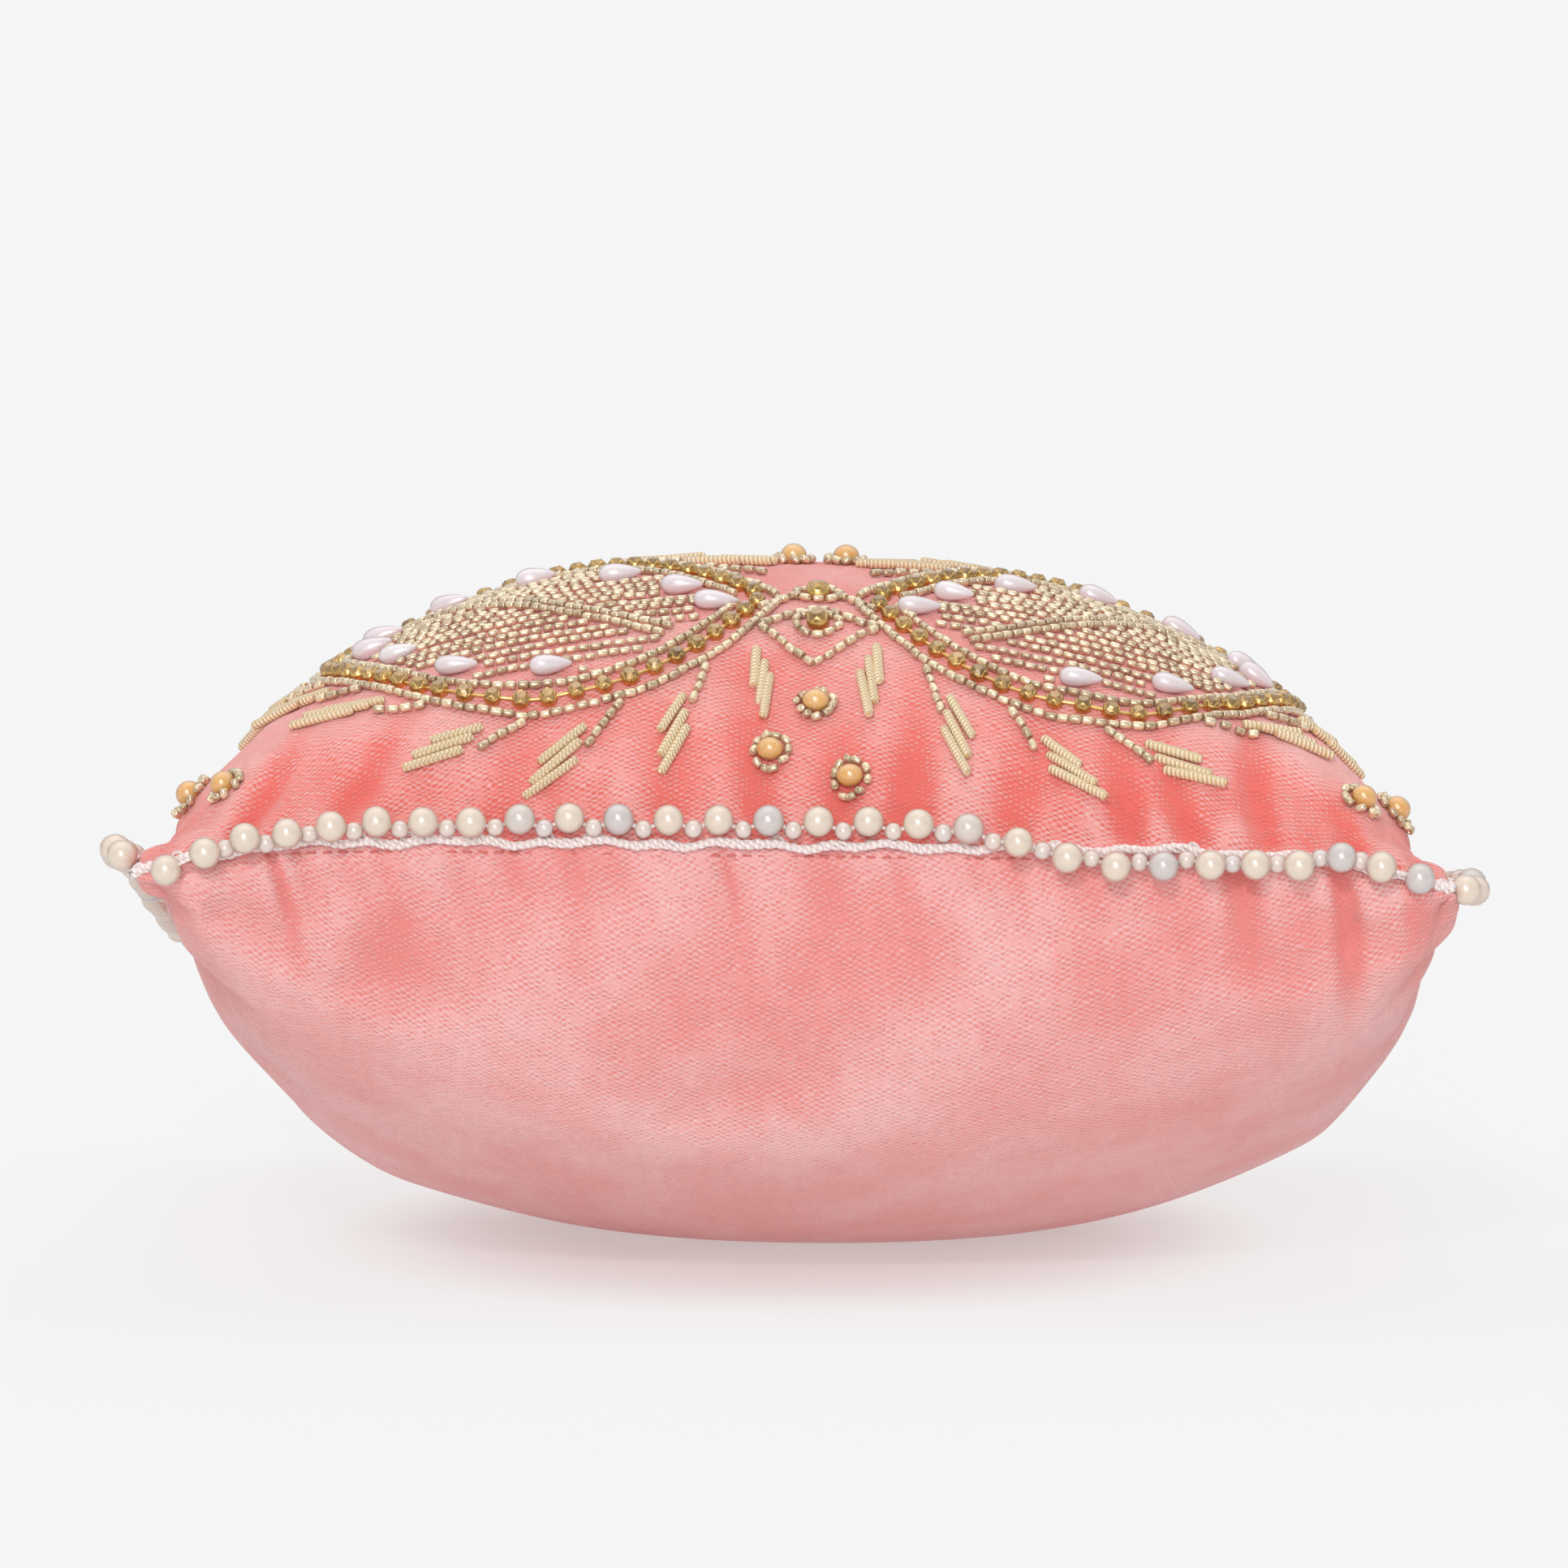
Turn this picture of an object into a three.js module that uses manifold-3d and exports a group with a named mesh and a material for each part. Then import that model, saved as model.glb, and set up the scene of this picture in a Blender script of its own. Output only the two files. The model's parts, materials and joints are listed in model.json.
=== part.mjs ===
// Ring bearer pillow: a square velvet pillow, stuffed, edged with strung pearls and bead embroidered.
// Units are millimetres. +Z is up and the front edge faces -Y. The pillow rests on its own belly,
// which flattens on the table, and it leans back a little, so its front edge is the higher one.
import * as THREE from 'three';
import { mergeVertices } from 'three/addons/utils/BufferGeometryUtils.js';
import Module from 'manifold-3d';

const wasm = await Module();
wasm.setup();

const { degToRad } = THREE.MathUtils;

// ---- Pillow body -------------------------------------------------------------------------------
const SEAM_HALF = 101.6; // seam centre to seam edge, measured at a corner
const CROWN_TOP = 56; // height of the top cover above the seam
const CROWN_BOTTOM = 57.5; // depth of the bottom cover below the seam
const EDGE_BOW = 0.035; // share of SEAM_HALF by which each edge pulls in at its middle
const EDGE_PUSH = 0.21; // how strongly the filling pushes the cloth out towards the edges
const TOP_FULLNESS = { edge: 2.44, power: 0.66 }; // rounds the shoulder of the top cover
const BOTTOM_FULLNESS = { edge: 2.14, power: 0.4 }; // the bottom cover is fuller
const SEAM_WAVE = 1.4; // the front and back seams rise by this, and the side seams fall
const CORNER_DROOP = 4.6; // how far the empty corners hang
const BELLY_SHIFT = 3.8; // the filling has settled to the right by this
const ROLL = degToRad(0.73); // the right side rests lower
const LEAN = degToRad(9.5); // the front edge rests higher
const BASE_SQUASH = 4; // height that the belly loses where it flattens on the table
const COVER_THICK = 1; // velvet and its backing
const CLEARANCE = 0.3; // between any two pieces that touch
const GRID = 12; // cells along each side of a cover

// ---- Edge trim ---------------------------------------------------------------------------------
const BRAID_RADIUS = 1.1; // crocheted cord
const PEARL_RADIUS = 2.45; // large edge pearls
const PEARL_PITCH = 7.4;
const SMALL_PEARL_RADIUS = 1.5;
const SMALL_PEARL_PITCH = 7.4;
const THREAD_RADIUS = 0.35; // the thread that strings the pearls
const TRIM_JOIN = 0.6; // gap where the two ends of a closed trim meet
const PEARL_RISE = degToRad(78); // how steeply the large pearls sit above the braid
const CORNER_CUT = SEAM_HALF / 150; // spare room where a trim cuts the corners short

// ---- Embroidery --------------------------------------------------------------------------------
const PANEL_TAKE_UP = 1.142; // flat half width of the cut panel over SEAM_HALF
const PANEL_HALF = SEAM_HALF * PANEL_TAKE_UP;
const PATTERN_HALF = 116; // the pattern below is drawn for a panel of this half width
const PATTERN_SCALE = PANEL_HALF / PATTERN_HALF;
const MOTIF_CENTRE_X = 3.5; // the pattern's mirror line, right of the panel's centre
const STITCH_GAP = 0.7; // from the cloth to the underside of a bead
const CHAIN_RADIUS = 1.45; // crystal in its cup
const BEAD_RADIUS = 0.9; // seed bead
const ROW_GAP = 0.75; // between two rows of embroidery
const ROW_SPACE = CHAIN_RADIUS + ROW_GAP + BEAD_RADIUS; // crystal chain to the bead rows
const DROP_RADIUS = 1.5;
const DROP_INSET = ROW_SPACE + BEAD_RADIUS + ROW_GAP + 1.43 * DROP_RADIUS; // chain to teardrops
const DROP_PITCH = 18;
const FILL_RADIUS = BEAD_RADIUS * 0.8;
const FILL_INSET = DROP_INSET + DROP_RADIUS + ROW_GAP + FILL_RADIUS * 1.4; // chain to fill rows
const FILL_PITCH = 7;
const FILL_END_ROOM = 1.45; // a level row meets the border at a slant, so it stops this much sooner
const FILL_STEP = 7.5;
const MIDRIB_SPACE = 2 * BEAD_RADIUS + 1.4; // between the midrib's two rows
const RAY_PITCH = 15.5; // along the border, from one bullion group to the next
const RAY_TURN = degToRad(30); // a ray leaves the border at this angle
const RAY_THREAD_OFFSET = ROW_SPACE + BEAD_RADIUS + ROW_GAP + 0.85; // chain to the bullions' thread
const RAY_LENGTH = 11 * PATTERN_SCALE;
const COIL_STAGGER = 3.5 * PATTERN_SCALE; // each coil starts this much further out than the last
const BULLION = { length: RAY_LENGTH, width: 4.4, height: 0.9, stagger: COIL_STAGGER };
const BULLION_GAP = 63 / SEAM_HALF; // coils lie close to the cloth, less so where it is rounder
const BEAD_RAY = { length: RAY_LENGTH, width: 1.5, height: 1, stagger: 0 };
const BEAD_RAY_PLACE = 0.6; // where a ray of beads leaves, between two bullion groups
const MIDDLE_LINE_ROOM = 3; // a ray stops this far from the mirrored wing's middle line
const FLOWER_RADIUS = 3.6 * PATTERN_SCALE;
const FLOWER_HEIGHT = 3.8;
const EYE_CRYSTAL_RADIUS = 1.9;
const EYE_CUP_HEIGHT = 1.8;

// The border of one wing, from its tip round its near side, its outer end and back along its far
// side, as distances out from the mirror line and towards the middle of the panel.
const WING_BORDER = [
  [9.5, -64], [13, -73], [19, -81], [27, -88], [37, -92.5], [49, -94], [60, -92],
  [69, -85], [76, -74.5], [81, -61.5], [83.5, -47.5], [82, -34], [75, -23], [62, -18],
  [48, -20], [36, -29], [25.5, -40.5], [16, -53],
];
const MIDRIB = [[31, -74], [40, -65.5], [51, -54], [64, -39]];
const EYE_CRYSTALS_Y = [-61.5, -74.5];
const EYE_DIAMOND = [[0, -69], [8, -75.5], [0, -83], [-8, -75.5]];
const EYE_DIAMOND_END = [-0.9, -69.8]; // the row ends beside its start
const FLOWERS = [[0, -94], [-7.5, -104], [6.3, -108.5], [-4, -31], [4.4, -31]];
const CORNER_FLOWERS = [[100, -101], [107.5, -84]];

const VELVET = { color: 0xe8a0a0, roughness: 0.85, metalness: 0 };
const FIBRE = { color: 0xf4f2ee, roughness: 1, metalness: 0 };
const COTTON = { color: 0xf6efe6, roughness: 0.9, metalness: 0 };
const PEARL = { color: 0xf1e6d6, roughness: 0.25, metalness: 0 };
const GOLD_BEAD = { color: 0xc9a86a, roughness: 0.3, metalness: 0.6 };
const CRYSTAL = { color: 0xb98a3c, roughness: 0.2, metalness: 0.7 };
const BULLION_GOLD = { color: 0xe9cf94, roughness: 0.4, metalness: 0.8 };
const DROP_PEARL = { color: 0xf3eaf0, roughness: 0.2, metalness: 0 };
const HONEY_PEARL = { color: 0xe8b45e, roughness: 0.25, metalness: 0 };

const object = new THREE.Group();

function addPiece(name, geometry, finish) {
  const piece = new THREE.Mesh(geometry, new THREE.MeshStandardMaterial(finish));
  piece.name = name;
  object.add(piece);
}

// ---- Pillow surfaces ---------------------------------------------------------------------------

const TOP = { up: 1, crown: CROWN_TOP, shift: 0, ...TOP_FULLNESS };
const BOTTOM = { up: -1, crown: CROWN_BOTTOM, shift: BELLY_SHIFT, ...BOTTOM_FULLNESS };

// A point of the pillow before it is rolled and leaned. s and t run from -1 to 1 over the panel,
// and inset moves the surface inwards by that many millimetres.
function uprightPoint(s, t, skin, inset) {
  const half = SEAM_HALF - inset;
  const width = 1 - EDGE_BOW * (1 - t * t);
  const depth = 1 - EDGE_BOW * (1 - s * s);
  const push = EDGE_PUSH * (1 - s * s) * (1 - t * t);
  const u = s * (1 + push);
  const v = t * (1 + push);
  const round = (1 - Math.abs(u) ** skin.edge) * (1 - Math.abs(v) ** skin.edge);
  const rise = Math.max(round, 0) ** skin.power;
  const seam = SEAM_WAVE * (t ** 4 - s ** 4) - CORNER_DROOP * (s * t) ** 8;
  const x = half * width * u + skin.shift * (1 - (1 - rise) ** 6);
  return new THREE.Vector3(x, half * depth * v, seam + skin.up * (skin.crown - inset) * rise);
}

// The turn that rolls the pillow about Y and then leans it back about X.
const RESTING_TURN = new THREE.Matrix4()
  .makeRotationX(-LEAN)
  .multiply(new THREE.Matrix4().makeRotationY(ROLL));

function restingPoint(s, t, skin, inset = 0) {
  return uprightPoint(s, t, skin, inset).applyMatrix4(RESTING_TURN);
}

// Grid lines lie closer together near the seam, where the cloth bends most.
function gridLine(index) {
  const even = (2 * index) / GRID - 1;
  return (even + Math.sin((Math.PI * even) / 2)) / 2;
}

function lowestPoint() {
  let lowest = Infinity;
  for (let i = 0; i <= GRID; i++) {
    for (let j = 0; j <= GRID; j++) {
      lowest = Math.min(lowest, restingPoint(gridLine(i), gridLine(j), BOTTOM).z);
    }
  }
  return lowest;
}

const TABLE_Z = lowestPoint() + BASE_SQUASH;

// One grid of points over a skin. The belly stops at the table, and a skin inside it stops higher.
function skinPoints(skin, inset, seamGap) {
  const points = [];
  for (let j = 0; j <= GRID; j++) {
    for (let i = 0; i <= GRID; i++) {
      const point = restingPoint(gridLine(i), gridLine(j), skin, inset);
      point.z = Math.max(point.z + skin.up * seamGap, TABLE_Z + inset);
      points.push(point);
    }
  }
  return points;
}

function gridFaces(first, facesUp) {
  const faces = [];
  const row = GRID + 1;
  for (let j = 0; j < GRID; j++) {
    for (let i = 0; i < GRID; i++) {
      const near = first + j * row + i;
      const far = near + row + 1;
      const right = near + 1;
      const left = near + row;
      if (facesUp) faces.push(near, right, far, near, far, left);
      else faces.push(near, far, right, near, left, far);
    }
  }
  return faces;
}

// The grid's outer loop of points, anticlockwise seen from above.
function rimLoop(first) {
  const row = GRID + 1;
  const loop = [];
  for (let i = 0; i < GRID; i++) loop.push(first + i);
  for (let j = 0; j < GRID; j++) loop.push(first + j * row + GRID);
  for (let i = GRID; i > 0; i--) loop.push(first + GRID * row + i);
  for (let j = GRID; j > 0; j--) loop.push(first + j * row);
  return loop;
}

function meshFrom(points, faces) {
  const geometry = new THREE.BufferGeometry().setFromPoints(points);
  geometry.setIndex(faces);
  return mergeVertices(geometry, 1e-4);
}

// A cover is a thin shell: its inner skin, the rim where it is sewn, and its outer skin.
function coverShell(skin) {
  const outer = skinPoints(skin, 0, CLEARANCE / 2);
  const inner = skinPoints(skin, COVER_THICK, CLEARANCE / 2);
  const facesUp = skin.up > 0;
  const faces = gridFaces(outer.length, !facesUp);
  const outerRim = rimLoop(0);
  const innerRim = rimLoop(outer.length);
  outerRim.forEach((a, index) => {
    const next = (index + 1) % outerRim.length;
    const quad = [a, innerRim[index], innerRim[next], outerRim[next]];
    if (!facesUp) quad.reverse();
    faces.push(quad[1], quad[2], quad[3], quad[1], quad[3], quad[0]);
  });
  faces.push(...gridFaces(0, facesUp));
  return meshFrom([...outer, ...inner], faces);
}

function fillingBody() {
  const inset = COVER_THICK + CLEARANCE;
  const upper = skinPoints(TOP, inset, 0);
  const lower = skinPoints(BOTTOM, inset, 0);
  return meshFrom([...upper, ...lower], [...gridFaces(0, true), ...gridFaces(upper.length, false)]);
}

addPiece('inner_filling', fillingBody(), FIBRE);
addPiece('top_cover', coverShell(TOP), VELVET);
addPiece('bottom_cover', coverShell(BOTTOM), VELVET);

// ---- Strings and tubes -------------------------------------------------------------------------

function section(radius, sides) {
  const shape = new THREE.Shape();
  for (let k = 0; k < sides; k++) {
    const angle = (2 * Math.PI * k) / sides;
    const x = radius * Math.cos(angle);
    const y = radius * Math.sin(angle);
    if (k === 0) shape.moveTo(x, y);
    else shape.lineTo(x, y);
  }
  return shape;
}

function tubeAlong(curve, radius, steps, sides = 3) {
  return new THREE.ExtrudeGeometry(section(radius, sides), { steps, extrudePath: curve });
}

// Bends a solid that stands along +Y onto a curve of the same length.
function bendAlong(geometry, curve, length) {
  const cuts = 400;
  const frames = curve.computeFrenetFrames(cuts);
  const position = geometry.attributes.position;
  for (let i = 0; i < position.count; i++) {
    const share = Math.min(Math.max(position.getY(i) / length, 0), 1);
    const cut = Math.round(share * cuts);
    const point = curve
      .getPointAt(share)
      .addScaledVector(frames.binormals[cut], position.getX(i))
      .addScaledVector(frames.normals[cut], position.getZ(i));
    position.setXYZ(i, point.x, point.y, point.z);
  }
  return geometry;
}

// Beads on a thread, turned as one straight profile and then bent onto the curve. middles are the
// beads' places along the curve, half is half a bead's length, and belly gives the places along
// a bead, as shares of half, at which it is widest.
function beadString(curve, middles, radius, half, belly, sides) {
  const length = curve.getLength();
  const profile = [new THREE.Vector2(0, 0), new THREE.Vector2(THREAD_RADIUS, 0)];
  for (const middle of middles) {
    profile.push(new THREE.Vector2(THREAD_RADIUS, middle - half));
    for (const share of belly) profile.push(new THREE.Vector2(radius, middle + share * half));
    profile.push(new THREE.Vector2(THREAD_RADIUS, middle + half));
  }
  profile.push(new THREE.Vector2(THREAD_RADIUS, length), new THREE.Vector2(0, length));
  return bendAlong(new THREE.LatheGeometry(profile, sides), curve, length);
}

function evenMiddles(length, pitch) {
  const count = Math.floor(length / pitch);
  return Array.from({ length: count }, (_, k) => ((k + 0.5) * length) / count);
}

// ---- Edge trim ---------------------------------------------------------------------------------

const SIDES = ['front', 'right', 'back', 'left'];

// Stations along one side of the seam, from just past one corner to the next corner.
const EDGE_STATIONS = [-0.96, -0.72, -0.4, 0, 0.4, 0.72, 0.96, 1];
const MIDDLE_STATION = 3;

// A point on the seam of one side, moved outwards and upwards. along runs from -1 to 1.
function trimPoint(side, along, out, up) {
  const turn = (side * Math.PI) / 2;
  const forward = new THREE.Vector3(Math.cos(turn), Math.sin(turn), 0).round();
  const outward = new THREE.Vector3(Math.sin(turn), -Math.cos(turn), 0).round();
  const s = forward.x * along + outward.x;
  const t = forward.y * along + outward.y;
  if (along === 1) outward.add(forward).normalize();
  const point = uprightPoint(s, t, TOP, 0).addScaledVector(outward, out);
  point.z += up;
  return point.applyMatrix4(RESTING_TURN);
}

function smoothPath(points) {
  return new THREE.CatmullRomCurve3(points, false, 'centripetal');
}

function sidePath(side, out, up) {
  return smoothPath(EDGE_STATIONS.map((along) => trimPoint(side, along, out, up)));
}

// A trim that goes all the way round, open where its ends meet in the middle of the back edge.
function roundPath(out, up) {
  const stops = EDGE_STATIONS.slice(MIDDLE_STATION).map((along) => [2, along]);
  for (const side of [3, 0, 1]) stops.push(...EDGE_STATIONS.map((along) => [side, along]));
  stops.push(...EDGE_STATIONS.slice(0, MIDDLE_STATION + 1).map((along) => [2, along]));
  const points = stops.map(([side, along]) => trimPoint(side, along, out, up));
  points[0].add(points[1].clone().sub(points[0]).setLength(TRIM_JOIN));
  return smoothPath(points);
}

const BRAID_OUT = BRAID_RADIUS + CLEARANCE + CORNER_CUT;
const PEARL_REACH = BRAID_RADIUS + PEARL_RADIUS + CLEARANCE + CORNER_CUT;
const PEARL_OUT = BRAID_OUT + PEARL_REACH * Math.cos(PEARL_RISE);
const PEARL_UP = PEARL_REACH * Math.sin(PEARL_RISE);
const SMALL_PEARL_OUT = BRAID_OUT + BRAID_RADIUS + SMALL_PEARL_RADIUS + CLEARANCE;
const BRAID_STEPS = 130;
const ROUND_BELLY = [-0.4, 0.4];

addPiece('trim_braid', tubeAlong(roundPath(BRAID_OUT, 0), BRAID_RADIUS, BRAID_STEPS, 4), COTTON);

SIDES.forEach((name, side) => {
  const path = sidePath(side, PEARL_OUT, PEARL_UP);
  const middles = evenMiddles(path.getLength(), PEARL_PITCH);
  const string = beadString(path, middles, PEARL_RADIUS, PEARL_RADIUS, ROUND_BELLY, 5);
  addPiece(`trim_pearls_${name}`, string, PEARL);
});

const smallPath = roundPath(SMALL_PEARL_OUT, 0);
const smallMiddles = evenMiddles(smallPath.getLength(), SMALL_PEARL_PITCH);
addPiece(
  'trim_small_pearls',
  beadString(smallPath, smallMiddles, SMALL_PEARL_RADIUS, SMALL_PEARL_RADIUS, [0], 4),
  PEARL,
);

// ---- Embroidery: from the flat pattern to the crowned cover --------------------------------------

// Flat panel coordinates become a place on the top cover, lifted off the cloth along its normal.
function panelFrame(x, y) {
  const s = x / PANEL_HALF;
  const t = y / PANEL_HALF;
  const reach = 1e-3;
  const across = restingPoint(s + reach, t, TOP).sub(restingPoint(s - reach, t, TOP));
  const along = restingPoint(s, t + reach, TOP).sub(restingPoint(s, t - reach, TOP));
  const normal = across.clone().cross(along).normalize();
  return { origin: restingPoint(s, t, TOP), across, along, normal };
}

function panelPoint(x, y, lift) {
  const frame = panelFrame(x, y);
  return frame.origin.addScaledVector(frame.normal, lift);
}

// The placement of a solid that is built lengthwise along X with +Z off the cloth.
function panelPlacement(x, y, turn, lift) {
  const frame = panelFrame(x, y);
  const forward = frame.across.clone().multiplyScalar(Math.cos(turn));
  forward.addScaledVector(frame.along, Math.sin(turn)).normalize();
  const side = frame.normal.clone().cross(forward);
  const origin = frame.origin.addScaledVector(frame.normal, lift);
  return new THREE.Matrix4().makeBasis(forward, side, frame.normal).setPosition(origin);
}

function toSolid(geometry) {
  const bare = geometry.clone();
  bare.deleteAttribute('normal');
  bare.deleteAttribute('uv');
  const merged = mergeVertices(bare, 1e-4);
  const vertProperties = merged.attributes.position.array;
  const triVerts = Uint32Array.from(merged.index.array);
  return new wasm.Manifold(new wasm.Mesh({ numProp: 3, vertProperties, triVerts }));
}

// Joins overlapping solids into one body.
function fuse(geometries) {
  const body = geometries.map(toSolid).reduce((whole, next) => whole.add(next)).getMesh();
  const geometry = new THREE.BufferGeometry();
  geometry.setAttribute('position', new THREE.BufferAttribute(body.vertProperties, 3));
  geometry.setIndex(new THREE.BufferAttribute(body.triVerts, 1));
  return geometry;
}

// ---- Wings ---------------------------------------------------------------------------------------

const ROW_STATIONS = [0, 0.33, 0.67, 1]; // shares of a short row at which it follows the cloth

const border = new THREE.CatmullRomCurve3(
  WING_BORDER.map(([x, y]) => new THREE.Vector3(x, y, 0).multiplyScalar(PATTERN_SCALE)),
  true,
  'centripetal',
);
const BORDER_LENGTH = border.getLength();

// A point beside the border, in the wing's own flat coordinates. Positive offsets are outside.
function besideBorder(share, offset) {
  const tangent = border.getTangentAt(share);
  const outward = new THREE.Vector3(tangent.y, -tangent.x, 0);
  return border.getPointAt(share).addScaledVector(outward, offset);
}

const WINGS = [
  { name: 'front_left', mirrorX: -1, mirrorY: 1 },
  { name: 'front_right', mirrorX: 1, mirrorY: 1 },
  { name: 'back_left', mirrorX: -1, mirrorY: -1 },
  { name: 'back_right', mirrorX: 1, mirrorY: -1 },
];

// The wing's own flat coordinates become the panel's, mirrored to the wing's quarter.
function onPanel(wing, flat) {
  const x = MOTIF_CENTRE_X * PATTERN_SCALE + wing.mirrorX * flat.x;
  return new THREE.Vector2(x, wing.mirrorY * flat.y);
}

function wingPoint(wing, flat, lift) {
  const place = onPanel(wing, flat);
  return panelPoint(place.x, place.y, lift);
}

function wingPlacement(wing, flat, turn, lift) {
  const place = onPanel(wing, flat);
  const heading = Math.atan2(wing.mirrorY * Math.sin(turn), wing.mirrorX * Math.cos(turn));
  return panelPlacement(place.x, place.y, heading, lift);
}

// A curve beside the border, from one share of its length to another.
function borderPath(wing, offset, lift, from, to, stations) {
  const points = [];
  for (let i = 0; i <= stations; i++) {
    const share = from + ((to - from) * i) / stations;
    points.push(wingPoint(wing, besideBorder(share, offset), lift));
  }
  return smoothPath(points);
}

const CHAIN_LIFT = STITCH_GAP + CHAIN_RADIUS;
const BEAD_LIFT = STITCH_GAP + BEAD_RADIUS;
const FILL_LIFT = STITCH_GAP + FILL_RADIUS;
const MIDRIB_LIFT = FILL_LIFT + FILL_RADIUS + CLEARANCE + BEAD_RADIUS;
const RAY_LIFT = BULLION_GAP + BULLION.height + CLEARANCE + BEAD_RAY.height / 2;
const RING = { from: 0.004, to: 0.996 }; // a row starts and ends on either side of the tip
const DROPS = { from: 0.19, to: 0.95 };
const RAYS = { from: 0.06, to: 0.91 };
const INNER_RING = { from: 0.016, to: 0.984 }; // the inner row, which is shorter
const RING_STEPS = 30;
const INNER_STEPS = 26;
const MIDRIB_STEPS = 24;
const BORDER_POINTS = 120;

function crystalChain(wing) {
  const path = borderPath(wing, 0, CHAIN_LIFT, RING.from, RING.to, RING_STEPS);
  return tubeAlong(path, CHAIN_RADIUS, RING_STEPS, 4);
}

// A ray's heading where it leaves the border.
function rayTurn(share) {
  const tangent = border.getTangentAt(share);
  return Math.atan2(tangent.y, tangent.x) - RAY_TURN;
}

// A place beside a ray: so far along it from its start, and so far to its outer side.
function besideRay(share, offset, ahead, aside) {
  const turn = rayTurn(share);
  const point = besideBorder(share, offset);
  point.x += ahead * Math.cos(turn) + aside * Math.sin(turn);
  point.y += ahead * Math.sin(turn) - aside * Math.cos(turn);
  return point;
}

const RAY_STEP = (RAY_PITCH * PATTERN_SCALE) / BORDER_LENGTH;

// A ray that would reach the panel's middle line is left out: the mirrored wing stands beyond it.
function hasRoom(share, size) {
  const ahead = size.stagger + size.length;
  return besideRay(share, RAY_THREAD_OFFSET, ahead, BULLION.width).y < -MIDDLE_LINE_ROOM;
}

// A block that leaves the border at RAY_TURN, starting at an offset outside it.
function rayBlock(wing, share, offset, size, lift) {
  const middle = besideRay(share, offset, size.length / 2, 0);
  const block = new THREE.BoxGeometry(size.length, size.width, size.height);
  return block.applyMatrix4(wingPlacement(wing, middle, rayTurn(share), lift));
}

// The outer row of beads, with a short ray of beads between each two bullion groups.
function outerBeads(wing) {
  const path = borderPath(wing, ROW_SPACE, BEAD_LIFT, RING.from, RING.to, RING_STEPS);
  const rays = [];
  for (let share = RAYS.from + BEAD_RAY_PLACE * RAY_STEP; share < RAYS.to; share += RAY_STEP) {
    if (hasRoom(share, BEAD_RAY)) rays.push(rayBlock(wing, share, ROW_SPACE, BEAD_RAY, RAY_LIFT));
  }
  return fuse([tubeAlong(path, BEAD_RADIUS, RING_STEPS), ...rays]);
}

function innerBeads(wing) {
  const { from, to } = INNER_RING;
  const path = borderPath(wing, -ROW_SPACE, BEAD_LIFT, from, to, RING_STEPS);
  return tubeAlong(path, BEAD_RADIUS, INNER_STEPS);
}

// Two rows side by side, strung as one: out along one row and back along the other.
function midribBeads(wing) {
  const rib = smoothPath(
    MIDRIB.map(([x, y]) => new THREE.Vector3(x, y, 0).multiplyScalar(PATTERN_SCALE)),
  );
  const rows = [-1, 1].map((side) => (
    ROW_STATIONS.map((share) => {
      const tangent = rib.getTangentAt(share);
      const offset = new THREE.Vector3(-tangent.y, tangent.x, 0);
      return rib.getPointAt(share).addScaledVector(offset, (side * MIDRIB_SPACE) / 2);
    })
  ));
  const flat = [...rows[0], ...rows[1].reverse()];
  const path = smoothPath(flat.map((point) => wingPoint(wing, point, MIDRIB_LIFT)));
  return tubeAlong(path, BEAD_RADIUS, MIDRIB_STEPS);
}

// The stretch of a level line that lies inside the border, short of it at both ends.
function rowSpan(y) {
  const crossings = [];
  const points = border.getSpacedPoints(BORDER_POINTS);
  for (let i = 1; i < points.length; i++) {
    const a = points[i - 1];
    const b = points[i];
    if ((a.y - y) * (b.y - y) < 0) crossings.push(a.x + ((b.x - a.x) * (y - a.y)) / (b.y - a.y));
  }
  const inset = FILL_INSET * FILL_END_ROOM;
  return [Math.min(...crossings) + inset, Math.max(...crossings) - inset];
}

// Level rows strung on one thread that turns back at each row's end.
function fillBeads(wing) {
  const heights = WING_BORDER.map(([, y]) => y * PATTERN_SCALE);
  const bottom = Math.min(...heights) + FILL_INSET;
  const top = Math.max(...heights) - FILL_INSET;
  const count = Math.floor((top - bottom) / FILL_PITCH) + 1;
  const points = [];
  for (let row = 0; row < count; row++) {
    const y = bottom + row * FILL_PITCH;
    const span = rowSpan(y);
    if (row % 2) span.reverse();
    for (const share of ROW_STATIONS) {
      points.push(new THREE.Vector3(span[0] + share * (span[1] - span[0]), y, 0));
    }
  }
  const path = smoothPath(points.map((point) => wingPoint(wing, point, FILL_LIFT)));
  return tubeAlong(path, FILL_RADIUS, Math.round(path.getLength() / FILL_STEP));
}

function dropPearls(wing) {
  const lift = STITCH_GAP + DROP_RADIUS;
  const path = borderPath(wing, -DROP_INSET, lift, DROPS.from, DROPS.to, RING_STEPS);
  const middles = evenMiddles(path.getLength(), DROP_PITCH * PATTERN_SCALE);
  return beadString(path, middles, DROP_RADIUS, 2 * DROP_RADIUS, ROUND_BELLY, 4);
}

// A flat outline on the panel, laid on the cloth as a thin plate.
function plateOnPanel(outline, lift, thickness) {
  const plate = new THREE.ExtrudeGeometry(
    new THREE.Shape(outline),
    { depth: thickness, bevelEnabled: false },
  );
  const position = plate.attributes.position;
  for (let i = 0; i < position.count; i++) {
    const place = panelPoint(position.getX(i), position.getY(i), lift + position.getZ(i));
    position.setXYZ(i, place.x, place.y, place.z);
  }
  return plate;
}

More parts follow.
